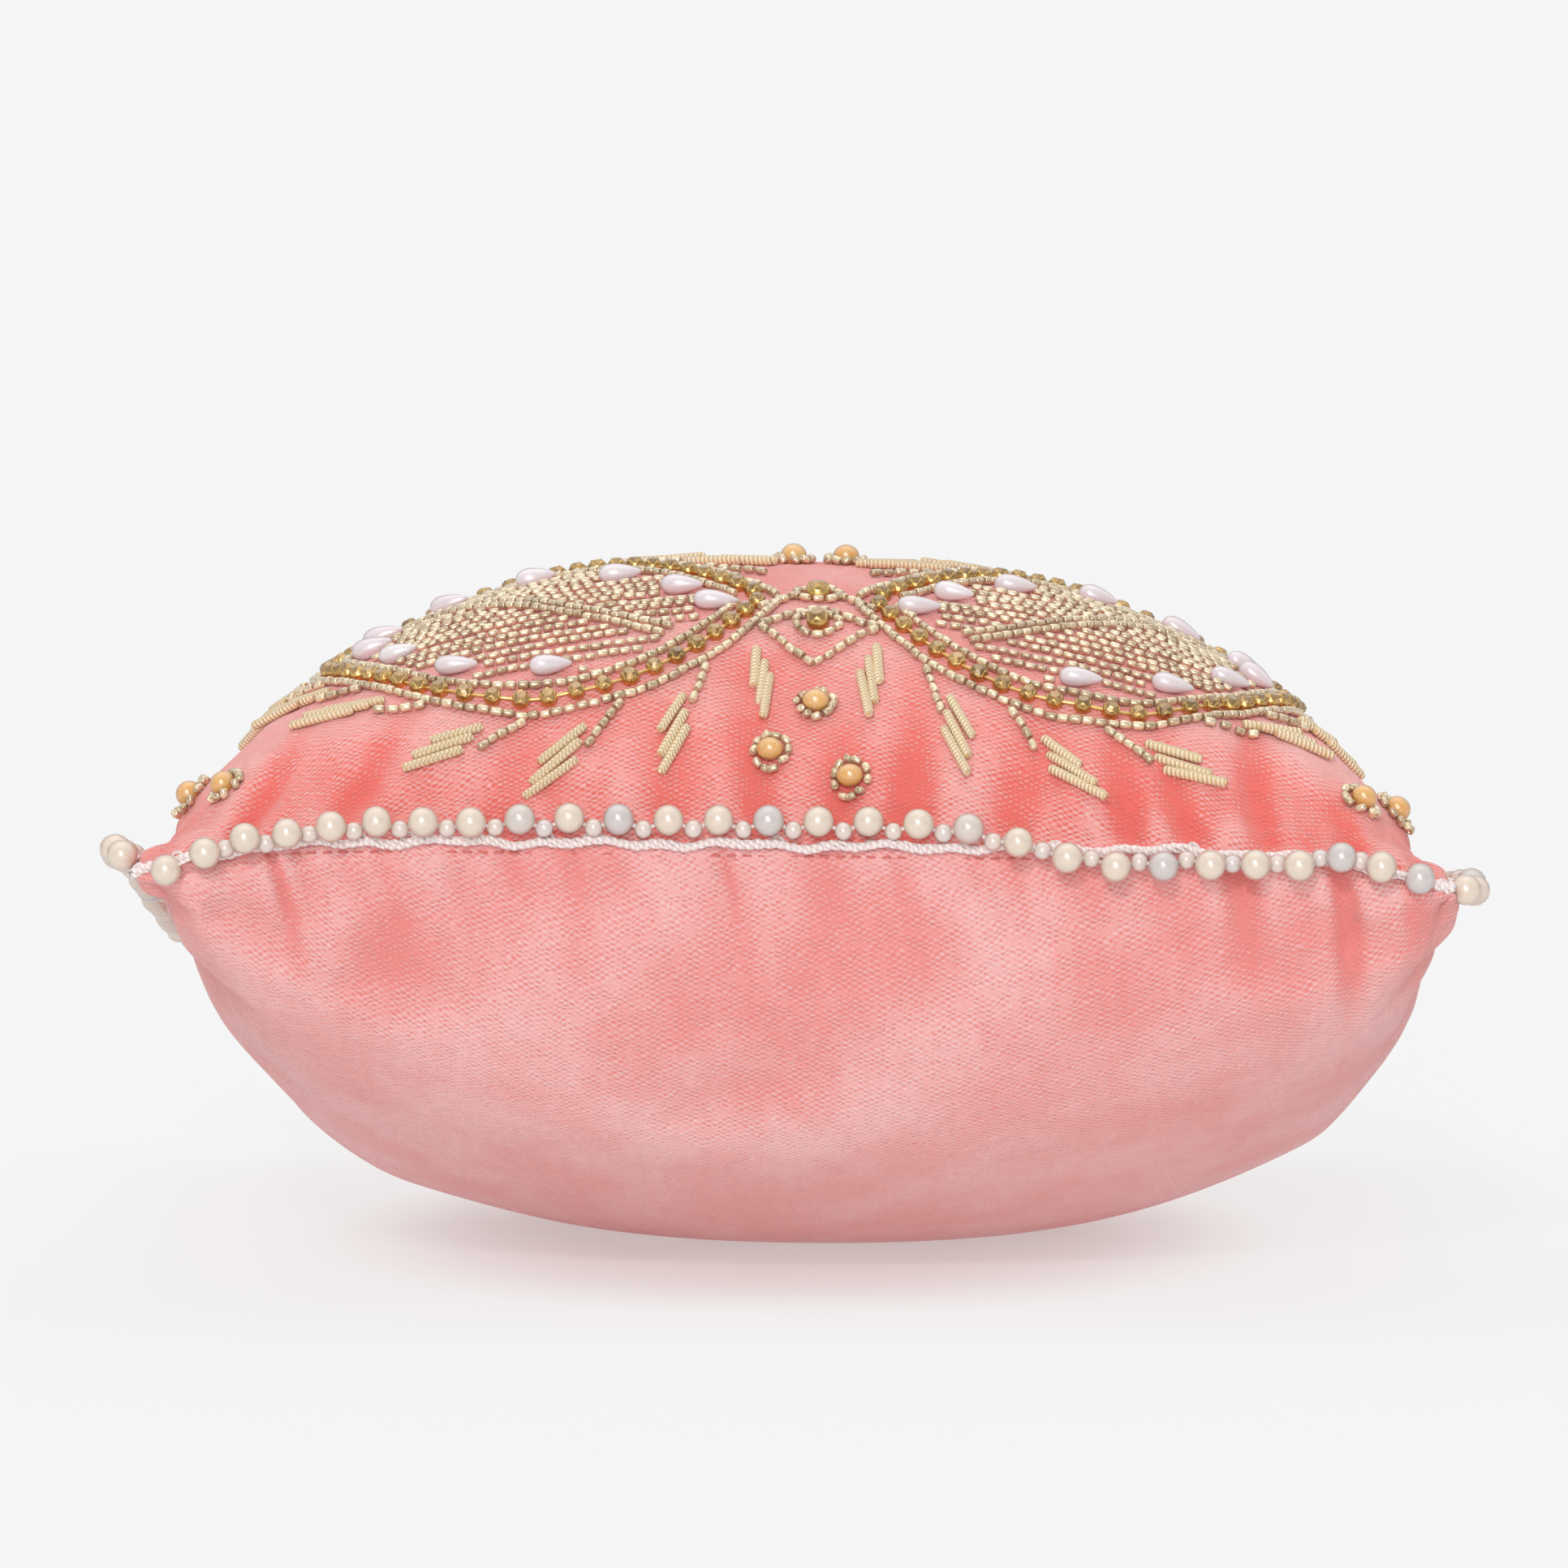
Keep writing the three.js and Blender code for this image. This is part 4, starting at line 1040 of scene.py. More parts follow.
def coil() -> Form:
    """A wound coil of radius 1 and length 1 along Z, with square ends."""
    z = np.array([0, 0, 0.04, 0.2, 0.4, 0.6, 0.8, 0.96, 1, 1])
    r = np.array([0, 0.7, 0.97, 1, 1, 1, 1, 0.97, 0.7, 0])
    return lathe([(float(p), float(q)) for p, q in zip(r, z)], 8)


def claw_cup(sides: int = 12) -> Form:
    """A metal cup with four claws: its rim rises and leans in at every quarter turn."""
    form = lathe(
        [(0, -1.0), (0.75, -1.0), (1.0, -0.55), (1.05, 0.2), (0.9, 0.32), (0.8, 0.0), (0, 0.0)],
        sides, 1,
    )
    verts = form.verts.copy()
    angle = np.arctan2(verts[:, 1], verts[:, 0])
    claw = np.maximum(np.cos(4 * angle), 0) ** 2 * (verts[:, 2] > 0.1)
    verts[:, 2] += 0.42 * claw
    verts[:, :2] *= (1 - 0.2 * claw)[:, None]
    return replace(form, verts=verts)


def cut_crystal() -> Form:
    """A round cut stone of girdle radius 1: eight crown facets, a table and a pavilion."""
    return lathe([(0, -0.75), (1.0, 0.2), (0.97, 0.34), (0.56, 0.8), (0, 0.8)], 8).faceted()


# ---- Embroidery pattern --------------------------------------------------------------------------------


@dataclass(frozen=True)
class Pattern:
    """The embroidery's flat plan, in millimetres, the same as in the CAD part."""

    scale: float = PillowShape.panel_half / 116
    centre_x: float = 3.5
    border: tuple = (
        (9.5, -64), (13, -73), (19, -81), (27, -88), (37, -92.5), (49, -94), (60, -92),
        (69, -85), (76, -74.5), (81, -61.5), (83.5, -47.5), (82, -34), (75, -23), (62, -18),
        (48, -20), (36, -29), (25.5, -40.5), (16, -53),
    )
    midrib: tuple = ((24.5, -77), (31, -73), (40, -65), (50, -54), (58, -45), (66, -37))
    midrib_space: float = 2.5
    row_space: float = 3.1
    link_pitch: float = 4.4
    fill_pitch: float = 3.35
    fill_inset: float = 5.4
    fill_span: tuple = (-92, -15)
    rib_room: float = 2.6
    drop_room: tuple = (4.4, 2.5)
    shortest_row: float = 2.2
    ray_pitch: float = 15.5
    ray_turn: float = math.radians(30)
    ray_start: float = 0.06
    ray_end: float = 0.91
    coil_width: float = 4.4
    coil_stagger: float = 7.6
    coil_length: float = 12.0
    drops: tuple = (
        (44.5, -87), (60.5, -83), (70.5, -68.5), (75, -54), (73, -41), (61, -31), (46, -35),
        (32, -47.5), (22, -58.5), (16.5, -67.5),
    )
    flowers: tuple = ((0, -94), (-7.5, -104), (6.3, -108.5), (-4, -31), (4.4, -31))
    corner_flowers: tuple = ((100, -101), (107.5, -84))
    eye_crystals: tuple = (-61.5, -74.5)
    eye_diamond: tuple = ((0, -69.5), (10, -76), (-0.6, -84.5), (-9.5, -75.6), (0, -69.5))


@dataclass
class Embroiderer:
    """Places beads, stones and coils on the top cover."""

    cloth: Cloth
    pattern: Pattern
    bead_radius: float = 0.70
    bead_half: float = 0.93
    bead_pitch: float = 1.95
    rng: np.random.Generator = field(default_factory=lambda: np.random.default_rng(SEED + 100))

    def turned(self, forward: Array, normal: Array, tilt: float) -> Array:
        """Bases whose Z is forward and X the normal, each tilted a little at random."""
        count = len(forward)
        z = unit(forward + tilt * self.rng.normal(size=(count, 3)))
        x = unit(normal - z * (normal * z).sum(-1, keepdims=True))
        return np.stack([x, np.cross(z, x), z], axis=-1)

    def headings(self, flat: Array, across: Array, along: Array) -> Array:
        """The direction on the cloth of a flat path at each of its points."""
        step = np.gradient(flat, axis=0) if len(flat) > 1 else np.array([[1.0, 0.0]])
        return unit(across * step[:, :1] + along * step[:, 1:])

    def spaced(self, flat: Array, pitch: float) -> Array:
        """Flat points at an even pitch, measured on the curved cloth."""
        on_cloth = self.cloth.frames(flat[:, 0], flat[:, 1], np.zeros(len(flat)))[0]
        along = np.concatenate([[0], np.cumsum(np.linalg.norm(np.diff(on_cloth, axis=0), axis=1))])
        count = max(int(along[-1] / pitch), 1)
        places = (np.arange(count) + 0.5) * along[-1] / count
        return np.stack([np.interp(places, along, flat[:, k]) for k in range(2)], axis=-1)

    def beads(self, flat: Array, lift: float, size: float = 1.0, pitch: float = 0.0) -> Form:
        """A row of seed beads threaded along a flat path, at the usual pitch unless one is given."""
        pitch = pitch or self.bead_pitch
        places = self.spaced(flat, pitch)
        count = len(places)
        wobble = self.rng.normal(scale=0.06, size=(count, 2))
        x, y = (places + wobble).T
        at, across, along, normal = self.cloth.frames(x, y, self.rng.normal(lift, 0.06, count))
        bases = self.turned(self.headings(places, across, along), normal, 0.06)
        girth = self.bead_radius * size * self.rng.uniform(0.9, 1.08, count)
        half = self.bead_half * pitch / self.bead_pitch * self.rng.uniform(0.9, 1.08, count)
        return scatter(seed_bead(), at, bases, np.stack([girth, girth, half], -1),
                       self.rng.random(count))

    def stones(self, flat: Array, lift: float, radius: float, pitch: float) -> list[Form]:
        """Crystals in claw cups along a flat path, as cups and stones apart."""
        places = self.spaced(flat, pitch) if pitch else flat
        count = len(places)
        at, across, along, normal = self.cloth.frames(places[:, 0], places[:, 1],
                                                      np.full(count, lift))
        spin = self.headings(places, across, along)
        z = unit(normal + 0.08 * self.rng.normal(size=(count, 3)))
        x = unit(spin - z * (spin * z).sum(-1, keepdims=True))
        bases = np.stack([x, np.cross(z, x), z], axis=-1)
        sizes = np.repeat((radius * self.rng.uniform(0.95, 1.05, count))[:, None], 3, axis=1)
        chances = self.rng.random(count)
        return [scatter(form, at, bases, sizes, chances) for form in (claw_cup(), cut_crystal())]

    def coils(self, starts: Array, turns: Array, lengths: Array, lift: float, radius: float) -> Form:
        """Bullion coils lying on the cloth from their starts, at the given headings."""
        middle = starts + 0.5 * lengths[:, None] * np.stack([np.cos(turns), np.sin(turns)], -1)
        count = len(starts)
        at, across, along, normal = self.cloth.frames(middle[:, 0], middle[:, 1],
                                                      np.full(count, lift))
        forward = unit(across * np.cos(turns)[:, None] + along * np.sin(turns)[:, None])
        bases = self.turned(forward, normal, 0.025)
        origin = at - bases[:, :, 2] * (lengths / 2)[:, None]
        girth = radius * self.rng.uniform(0.94, 1.06, count)
        form = scatter(coil(), origin, bases, np.stack([girth, girth, lengths], -1),
                       self.rng.random(count))
        marks = form.marks.copy()
        marks[:, 1] *= np.repeat(lengths, len(coil().verts))
        return replace(form, marks=marks)

    def drops(self, flat: Array, lift: float) -> Form:
        """Teardrop pearls lying along the fill rows."""
        count = len(flat)
        at, across, along, normal = self.cloth.frames(flat[:, 0], flat[:, 1], np.full(count, lift))
        lean = self.rng.normal(0.0, 0.16, count)[:, None]
        bases = self.turned(unit(across + along * lean), normal, 0.05)
        sizes = np.array([1.7, 1.6, 1.7]) * self.rng.uniform(0.94, 1.06, (count, 3))
        return scatter(drop(), at, bases, sizes, self.rng.random(count))


@dataclass
class Wing:
    """One quarter of the embroidery, mirrored from the flat plan."""

    name: str
    mirror: tuple[int, int]
    crew: Embroiderer
    cells: int = 480
    border: Array = field(init=False)

    def __post_init__(self) -> None:
        """Draws the border as an even closed curve in the wing's own flat coordinates."""
        p = self.crew.pattern
        raw = catmull_rom(np.array(p.border, dtype=float) * p.scale, True)
        raw = np.concatenate([raw, raw[:1]])
        self.border = resample(raw, np.linspace(0, polyline_length(raw), self.cells + 1))

    def to_panel(self, flat: Array) -> Array:
        """The wing's own flat coordinates become the panel's."""
        p = self.crew.pattern
        moved = np.asarray(flat, dtype=float) * np.array(self.mirror)
        return moved + np.array([p.centre_x * p.scale, 0.0])

    def beside(self, offset: float, start: float = 0.004, end: float = 0.996) -> Array:
        """The border moved outwards by an offset: point + offset (tangent y, -tangent x)."""
        tangent = unit(np.gradient(self.border, axis=0))
        outward = np.stack([tangent[:, 1], -tangent[:, 0]], axis=-1)
        moved = self.border + offset * outward
        keep = slice(int(start * self.cells), int(end * self.cells) + 1)
        return moved[keep]

    def at_share(self, share: float, offset: float) -> tuple[Array, float]:
        """A point beside the border, and the heading of the rays that leave it there."""
        index = int(round(share * self.cells)) % self.cells
        tangent = unit((self.border[(index + 1) % self.cells] - self.border[index - 1])[None])[0]
        outward = np.array([tangent[1], -tangent[0]])
        turn = math.atan2(tangent[1], tangent[0]) - self.crew.pattern.ray_turn
        return self.border[index] + offset * outward, turn

    def inside(self, flat: Array, inset: float) -> Array:
        """Which points lie inside the border by more than an inset."""
        edge = self.border[:-1]
        gap = np.linalg.norm(flat[:, None] - edge[None], axis=-1)
        nearest = gap.argmin(axis=1)
        tangent = unit(np.roll(edge, -1, axis=0) - np.roll(edge, 1, axis=0))[nearest]
        away = flat - edge[nearest]
        cross = away[:, 0] * tangent[:, 1] - away[:, 1] * tangent[:, 0]
        return (cross < 0) & (gap.min(axis=1) > inset)

    def ray_places(self) -> list[float]:
        """Shares of the border at which a bullion group starts."""
        p = self.crew.pattern
        step = p.ray_pitch * p.scale / polyline_length(self.border)
        count = int((p.ray_end - p.ray_start) / step)
        return [p.ray_start + k * step for k in range(count + 1)]

    def bead_rays(self) -> list[Array]:
        """Short rays of beads between the bullion groups, as flat paths that curl a little."""
        p = self.crew.pattern
        places = self.ray_places()
        step = places[1] - places[0]
        paths = []
        for share in places:
            at, turn = self.at_share(share + 0.6 * step, p.row_space + 1.2)
            if share + 0.6 * step >= p.ray_end:
                continue
            length = self.crew.rng.uniform(9.0, 11.5)
            bend = self.crew.rng.uniform(-0.25, 0.1)
            ahead = np.linspace(0, length, 9)
            angle = turn + bend * ahead / length
            path = at + np.cumsum(
                np.stack([np.cos(angle), np.sin(angle)], -1) * np.diff(ahead, prepend=0)[:, None],
                axis=0,
            )
            if path[-1, 1] < -1.5:
                paths.append(path)
        return paths

    def bullions(self) -> tuple[Array, Array, Array]:
        """Starts, headings and lengths of the coils, three to a group and stepped outwards."""
        p, rng = self.crew.pattern, self.crew.rng
        starts, turns, lengths = [], [], []
        for share in self.ray_places():
            at, turn = self.at_share(share, 5.9)
            ahead = np.array([math.cos(turn), math.sin(turn)])
            aside = np.array([math.sin(turn), -math.cos(turn)])
            for k in range(3):
                side = (k + 0.5) * p.coil_width / 3
                length = rng.uniform(0.78, 1.0) * p.coil_length * (0.85, 1.0, 0.95)[k]
                start = at + side * aside + side / p.coil_width * p.coil_stagger * ahead
                end = start + length * ahead
                if end[1] < -1.0 and start[1] < -1.0:
                    starts.append(start)
                    turns.append(turn + rng.normal(0, 0.03))
                    lengths.append(length)
        return np.array(starts), np.array(turns), np.array(lengths)

    def panel_turns(self, turns: Array) -> Array:
        """Headings mirrored to the wing's quarter."""
        return np.arctan2(self.mirror[1] * np.sin(turns), self.mirror[0] * np.cos(turns))

    def midrib_rows(self) -> list[Array]:
        """Two bead rows on either side of the midrib's centre line."""
        p = self.crew.pattern
        rib = catmull_rom(np.array(p.midrib, dtype=float) * p.scale, False)
        tangent = unit(np.gradient(rib, axis=0))
        aside = np.stack([-tangent[:, 1], tangent[:, 0]], axis=-1)
        return [rib + aside * side * p.midrib_space / 2 for side in (-1, 1)]

    def fill_rows(self) -> list[Array]:
        """Nearly level rows of beads that stop at the border, the midrib and the drop pearls."""
        p = self.crew.pattern
        rib = catmull_rom(np.array(p.midrib, dtype=float) * p.scale, False)
        drops = np.array(p.drops, dtype=float) * p.scale
        heights = np.arange(*p.fill_span, p.fill_pitch)
        rows = []
        for y0 in heights:
            x = np.linspace(8, 86, 391)
            tilt = 0.15 * min(max((-y0 - 36) / 50, 0), 1)
            sway = 0.5 * math.sin(0.7 * y0)
            y = y0 - tilt * (x - 47) + sway * np.sin(x / 14)
            flat = np.stack([x, y], axis=-1) * p.scale
            clear = self.inside(flat, p.fill_inset)
            rib_gap = np.linalg.norm(flat[:, None] - rib[None], axis=-1).min(axis=1)
            away = (flat[:, None] - drops[None]) / np.array(p.drop_room)
            clear &= (rib_gap > p.rib_room) & (np.linalg.norm(away, axis=-1).min(axis=1) > 1)
            cuts = np.flatnonzero(np.diff(np.concatenate([[0], clear.astype(int), [0]])))
            for begin, end in zip(cuts[::2], cuts[1::2]):
                if polyline_length(flat[begin:end]) > p.shortest_row:
                    rows.append(flat[begin:end])
        return rows


@dataclass
class Embroidery:
    """All the bead work on the top cover."""

    crew: Embroiderer
    finishes: dict[str, bpy.types.Material]
    chain_lift: float = 1.05
    row_lift: float = 0.75
    rib_lift: float = 0.85
    fill_lift: float = 0.62
    coil_lift: float = 0.72
    coil_radius: float = 0.8
    drop_lift: float = 1.5
    link_radius: float = 1.42
    eye_lift: float = 1.3
    eye_radius: float = 1.85
    loop_radius: tuple = (3.565, 3.1)
    petals: int = 10
    petal_ring: float = 3.0
    petal_size: tuple = (0.68, 0.68, 0.86)
    pearl_size: tuple = (1.85, 1.85, 2.1)
    pearl_lift: float = 1.35
    petal_lift: float = 0.8

    def wing(self, name: str, mirror: tuple[int, int]) -> None:
        """Builds one wing's seven pieces."""
        wing = Wing(name, mirror, self.crew)
        crew, look = self.crew, self.finishes
        prefix = f"wing_{name}_"

        def add(part: str, form: Form, materials: Sequence[bpy.types.Material]) -> None:
            """One piece that stands for the CAD node of the same part."""
            obj = make_object(f"{prefix}{part}_look", form, materials)
            place_piece(obj, [prefix + part])

        cups, gems = crew.stones(wing.to_panel(wing.beside(0)), self.chain_lift, self.link_radius,
                                 crew.pattern.link_pitch)
        path = wing.to_panel(wing.beside(0))
        spine = crew.cloth.frames(path[::3, 0], path[::3, 1], np.full(len(path[::3]), 0.8))[0]
        chain = join([gems, cups, tube(spine, np.full(len(spine), 0.3), 6, False, 1)])
        add("crystal_chain", chain, [look["crystal"], look["cup"]])
        outer = [crew.beads(wing.to_panel(wing.beside(crew.pattern.row_space)), self.row_lift)]
        outer += [crew.beads(wing.to_panel(path), self.row_lift) for path in wing.bead_rays()]
        add("outer_beads", join(outer), [look["bead"]])
        inner = crew.beads(wing.to_panel(wing.beside(-crew.pattern.row_space, 0.016, 0.984)),
                           self.row_lift)
        add("inner_beads", inner, [look["bead"]])
        rib = join([crew.beads(wing.to_panel(row), self.rib_lift) for row in wing.midrib_rows()])
        add("midrib_beads", rib, [look["bead"]])
        fill = join([crew.beads(wing.to_panel(row), self.fill_lift, 0.84, 1.8)
                     for row in wing.fill_rows()])
        add("fill_beads", fill, [look["bead"]])
        drops = wing.to_panel(np.array(crew.pattern.drops) * crew.pattern.scale)
        add("drop_pearls", crew.drops(drops, self.drop_lift), [look["drop"]])
        starts, turns, lengths = wing.bullions()
        coils = crew.coils(wing.to_panel(starts), wing.panel_turns(turns), lengths,
                           self.coil_lift, self.coil_radius)
        add("bullion_rays", coils, [look["bullion"]])

    def eye(self, name: str, mirror_y: int) -> None:
        """Two stones, each in a loop of beads, over a diamond of beads."""
        crew, p = self.crew, self.crew.pattern
        centre = np.array([p.centre_x, 0.0])

        def flat(points: Array) -> Array:
            """Pattern points moved to the mirror line and to this half."""
            moved = np.asarray(points, dtype=float) * np.array([1, mirror_y]) + centre
            return moved * p.scale

        stones = flat(np.array([[0.0, y] for y in p.eye_crystals]))
        cups, gems = crew.stones(stones, self.eye_lift, self.eye_radius, 0)
        diamond = np.array(p.eye_diamond, dtype=float)
        sides = [np.linspace(a, b, 12) for a, b in zip(diamond[:-1], diamond[1:])]
        angle = np.linspace(0, 2 * np.pi, 40)
        rows = [crew.beads(flat(side), self.row_lift) for side in sides]
        wide, tall = self.loop_radius
        for y in p.eye_crystals:
            ring = np.stack([wide * np.cos(angle), y + tall * np.sin(angle)], axis=-1)
            rows.append(crew.beads(flat(ring), self.row_lift, 0.95))
        wings = [np.array([[sign * 3.4, -62], [sign * 6.2, -65.5], [sign * 9.5, -69]])
                 for sign in (-1, 1)]
        rows += [crew.beads(flat(catmull_rom(w, False, 8)), self.row_lift) for w in wings]
        form = join([gems, cups, join(rows).in_slot(2)])
        look = self.finishes
        obj = make_object(f"{name}_look", form, [look["crystal"], look["cup"], look["bead"]])
        place_piece(obj, [name])

    def flower(self, index: int, x: float, y: float) -> None:
        """A honey pearl in a ring of ten seed beads."""
        crew, p = self.crew, self.crew.pattern
        at = np.array([[x * p.scale, y * p.scale]])
        origin, across, _, normal = crew.cloth.frames(at[:, 0], at[:, 1], np.array([self.pearl_lift]))
        bases = crew.turned(across, normal, 0.1)
        pearl = scatter(ball(12, 16), origin, bases,
                        np.array([self.pearl_size]), crew.rng.random(1))
        count = self.petals
        angle = 2 * np.pi * (np.arange(count) + crew.rng.random()) / count
        angle = angle + crew.rng.normal(0, 0.06, count)
        radius = self.petal_ring + crew.rng.normal(0, 0.12, count)
        ring = at + np.stack([radius * np.cos(angle), radius * np.sin(angle)], -1)
        where, east, north, out = crew.cloth.frames(
            ring[:, 0], ring[:, 1], np.full(count, self.petal_lift))
        forward = east * -np.sin(angle)[:, None] + north * np.cos(angle)[:, None]
        forward = forward + 0.6 * crew.rng.normal(size=(count, 1)) * out
        turned = crew.turned(forward, out, 0.15)
        sizes = np.array(self.petal_size) * crew.rng.uniform(0.9, 1.08, (count, 3))
        beads = scatter(seed_bead(), where, turned, sizes, crew.rng.random(count)).in_slot(1)
        name = f"flower_{index:02d}"
        obj = make_object(f"{name}_look", join([pearl, beads]),
                          [self.finishes["honey"], self.finishes["bead"]])
        place_piece(obj, [name])

    def build(self) -> None:
        """Builds every wing, eye and flower."""
        for far, y in (("front", 1), ("back", -1)):
            for near, x in (("left", -1), ("right", 1)):
                self.wing(f"{far}_{near}", (x, y))
            self.eye(f"{far}_eye_motif", y)
        p = self.crew.pattern
        index = 1
        for y_sign in (1, -1):
            places = [(p.centre_x + x, y_sign * y) for x, y in p.flowers]
            for x_sign in (-1, 1):
                places += [(x_sign * x, y_sign * y) for x, y in p.corner_flowers]
            for x, y in places:
                self.flower(index, x, y)
                index += 1


# ---- Edge trim -------------------------------------------------------------------------------------


@dataclass
class EdgeTrim:
    """The crochet cord, the pearls strung on it, and the seam's stitches."""

    shape: PillowShape
    finishes: dict[str, bpy.types.Material]
    cord_radius: float = 1.1
    cord_out: float = 1.5
    strand_radius: float = 0.4
    strand_pitch: float = 4.4
    pearl_radius: float = 2.42
    small_radius: float = 1.45
    thread_radius: float = 0.3
    pitch_middle: float = 7.6
    pitch_corner: float = 5.1
    rng: np.random.Generator = field(default_factory=lambda: np.random.default_rng(SEED + 300))

    def seam(self, side: int, along: Array, out: Array, up: Array) -> Array:
        """Points on one side's seam, moved outwards and upwards, in the CAD frame.

        Past the last tenth of a side the outward direction swings towards the next side, so that
        the four sides meet in a rounded corner.
        """
        angle = side * math.pi / 2
        forward = np.round([math.cos(angle), math.sin(angle)])
        outward = np.round([math.sin(angle), -math.cos(angle)])
        along = np.asarray(along, dtype=float)
        s = forward[0] * along + outward[0]
        t = forward[1] * along + outward[1]
        swing = np.sign(along) * np.clip((np.abs(along) - 0.94) / 0.06, 0, 1) * math.pi / 4
        way = np.cos(swing)[:, None] * outward + np.sin(swing)[:, None] * forward
        points = self.shape.upright(s, t, Side.TOP)
        tuck = 1 - 0.9 * np.clip((np.abs(along) - 0.9) / 0.1, 0, 1)
        points[:, :2] += (np.asarray(out).reshape(-1) * tuck)[:, None] * way
        points[:, 2] += up
        return points @ self.shape.turn().T + self.shape.origin()

    def loop(self, out: float, up: float, count: int = 160) -> Array:
        """The closed path all round the seam."""
        along = np.linspace(-1, 1, count, endpoint=False)
        sides = [self.seam(side, along, np.full(count, out), np.full(count, up))
                 for side in Edge]
        return np.concatenate(sides)

    def rise(self, side: int, along: Array) -> Array:
        """How steeply the pearls stand over the cord.

        They stand up along the middle of the front and hang below the cord to the right of it.
        On the other sides the angle wanders as a slow sine.
        """
        if side == Edge.FRONT:
            stops = [-1, -0.8, -0.55, -0.3, 0.22, 0.33, 0.45, 0.72, 0.82, 1]
            angles = [-0.7, 0.35, 0.9, 1.3, 1.3, 0.35, -0.75, -0.65, 0.3, -0.2]
            return np.interp(along, stops, angles)
        return 0.1 + 0.45 * np.sin(3.1 * along + 1.7 * side)

    def pearl_places(self) -> Array:
        """Places along any side, closer together towards its corners."""
        fine = np.linspace(-0.975, 0.975, 2001)
        pitch = self.pitch_middle + (self.pitch_corner - self.pitch_middle) * np.abs(fine) ** 3
        steps = self.shape.seam_half / pitch
        total = np.concatenate([[0], np.cumsum((steps[1:] + steps[:-1]) / 2 * np.diff(fine))])
        count = int(total[-1])
        return np.interp((np.arange(count) + 0.5) * total[-1] / count, total, fine)

    def beads_on(self, points: Array, radius: float, form: Form, stretch: float) -> Form:
        """Balls with random turns, sizes and tints."""
        count = len(points)
        basis = np.linalg.qr(self.rng.normal(size=(count, 3, 3)))[0]
        basis[:, :, 2] *= np.sign(np.linalg.det(basis))[:, None]
        sizes = radius * self.rng.uniform(1 - stretch, 1 + stretch, (count, 3))
        return scatter(form, points, basis, sizes, self.rng.random(count))

    def side_pearls(self, side: int) -> tuple[Array, Array]:
        """Centres of the large pearls and of the small ones between them."""
        places = self.pearl_places()
        angle = self.rise(side, places) + self.rng.normal(0, 0.1, len(places))
        reach = self.cord_radius + self.pearl_radius + 0.35
        large = self.seam(side, places, self.cord_out + reach * np.cos(angle),
                          reach * np.sin(angle))
        between = (places[:-1] + places[1:]) / 2
        gap = np.diff(places) * self.shape.seam_half
        between = between[gap > 6.0]
        angle = self.rise(side, between) + self.rng.normal(0, 0.12, len(between))
        reach = self.cord_radius + self.small_radius - 0.15
        small = self.seam(side, between, self.cord_out + reach * np.cos(angle),
                          reach * np.sin(angle))
        return large, small

    def cord(self) -> Form:
        """Three strands wound round the seam path, each swelling at every stitch.

        A strand's centre is the path plus an offset that turns once per pitch. Its radius swings
        by a fifth with the crochet stitches.
        """
        path = self.loop(self.cord_out, 0.0, 260)
        around = np.concatenate([path, path[:1]])
        total = polyline_length(around)
        count = int(total / 0.42)
        even = resample(around, np.arange(count) * total / count)
        _, side, cross = path_frames(even, True)
        along = np.arange(count) / count
        sway = 0.3 * np.sin(2 * np.pi * 37 * along) + 0.2 * np.sin(2 * np.pi * 91 * along + 1)
        even = even + sway[:, None] * side
        turns = round(total / self.strand_pitch)
        strands = []
        for k in range(3):
            phase = 2 * np.pi * (turns * along + k / 3)
            reach = 0.38 + 0.12 * np.sin(2 * np.pi * 61 * along + k)
            centre = even + reach[:, None] * (
                np.cos(phase)[:, None] * side + np.sin(phase)[:, None] * cross)
            swell = self.strand_radius * (1 + 0.2 * np.sin(2 * np.pi * turns * 1.5 * along + 2 * k))
            strands.append(tube(centre, swell, 6, True))
        return join(strands + [self.picots(even, side, cross)])

    def picots(self, even: Array, side: Array, cross: Array) -> Form:
        """Small loops of thread that stand off the cord.

        A loop is a half circle, point = path + height sin(a) outwards + width cos(a) along.
        """
        step = len(even) // 110
        a = np.linspace(0.1, np.pi - 0.1, 7)
        loops = []
        for index in range(0, len(even) - step, step):
            heading = unit((even[(index + 1) % len(even)] - even[index])[None])[0]
            tip = self.rng.uniform(-0.3, 1.2)
            way = math.cos(tip) * -cross[index] + math.sin(tip) * side[index]
            tall, wide = self.rng.uniform(1.3, 2.0), self.rng.uniform(0.9, 1.5)
            points = (even[index] + tall * np.sin(a)[:, None] * way
                      + wide * np.cos(a)[:, None] * heading)
            loops.append(tube(points, np.full(len(a), 0.33), 5, False))
        return join(loops)

    def thread(self, large: Array, small: Array) -> Form:
        """The thread that runs from pearl to pearl."""
        order = np.argsort(np.concatenate([large, small]) @ unit((large[-1] - large[0])[None])[0])
        points = np.concatenate([large, small])[order]
        path = catmull_rom(points, False, 5)
        return tube(path, np.full(len(path), self.thread_radius), 5, False, 1)

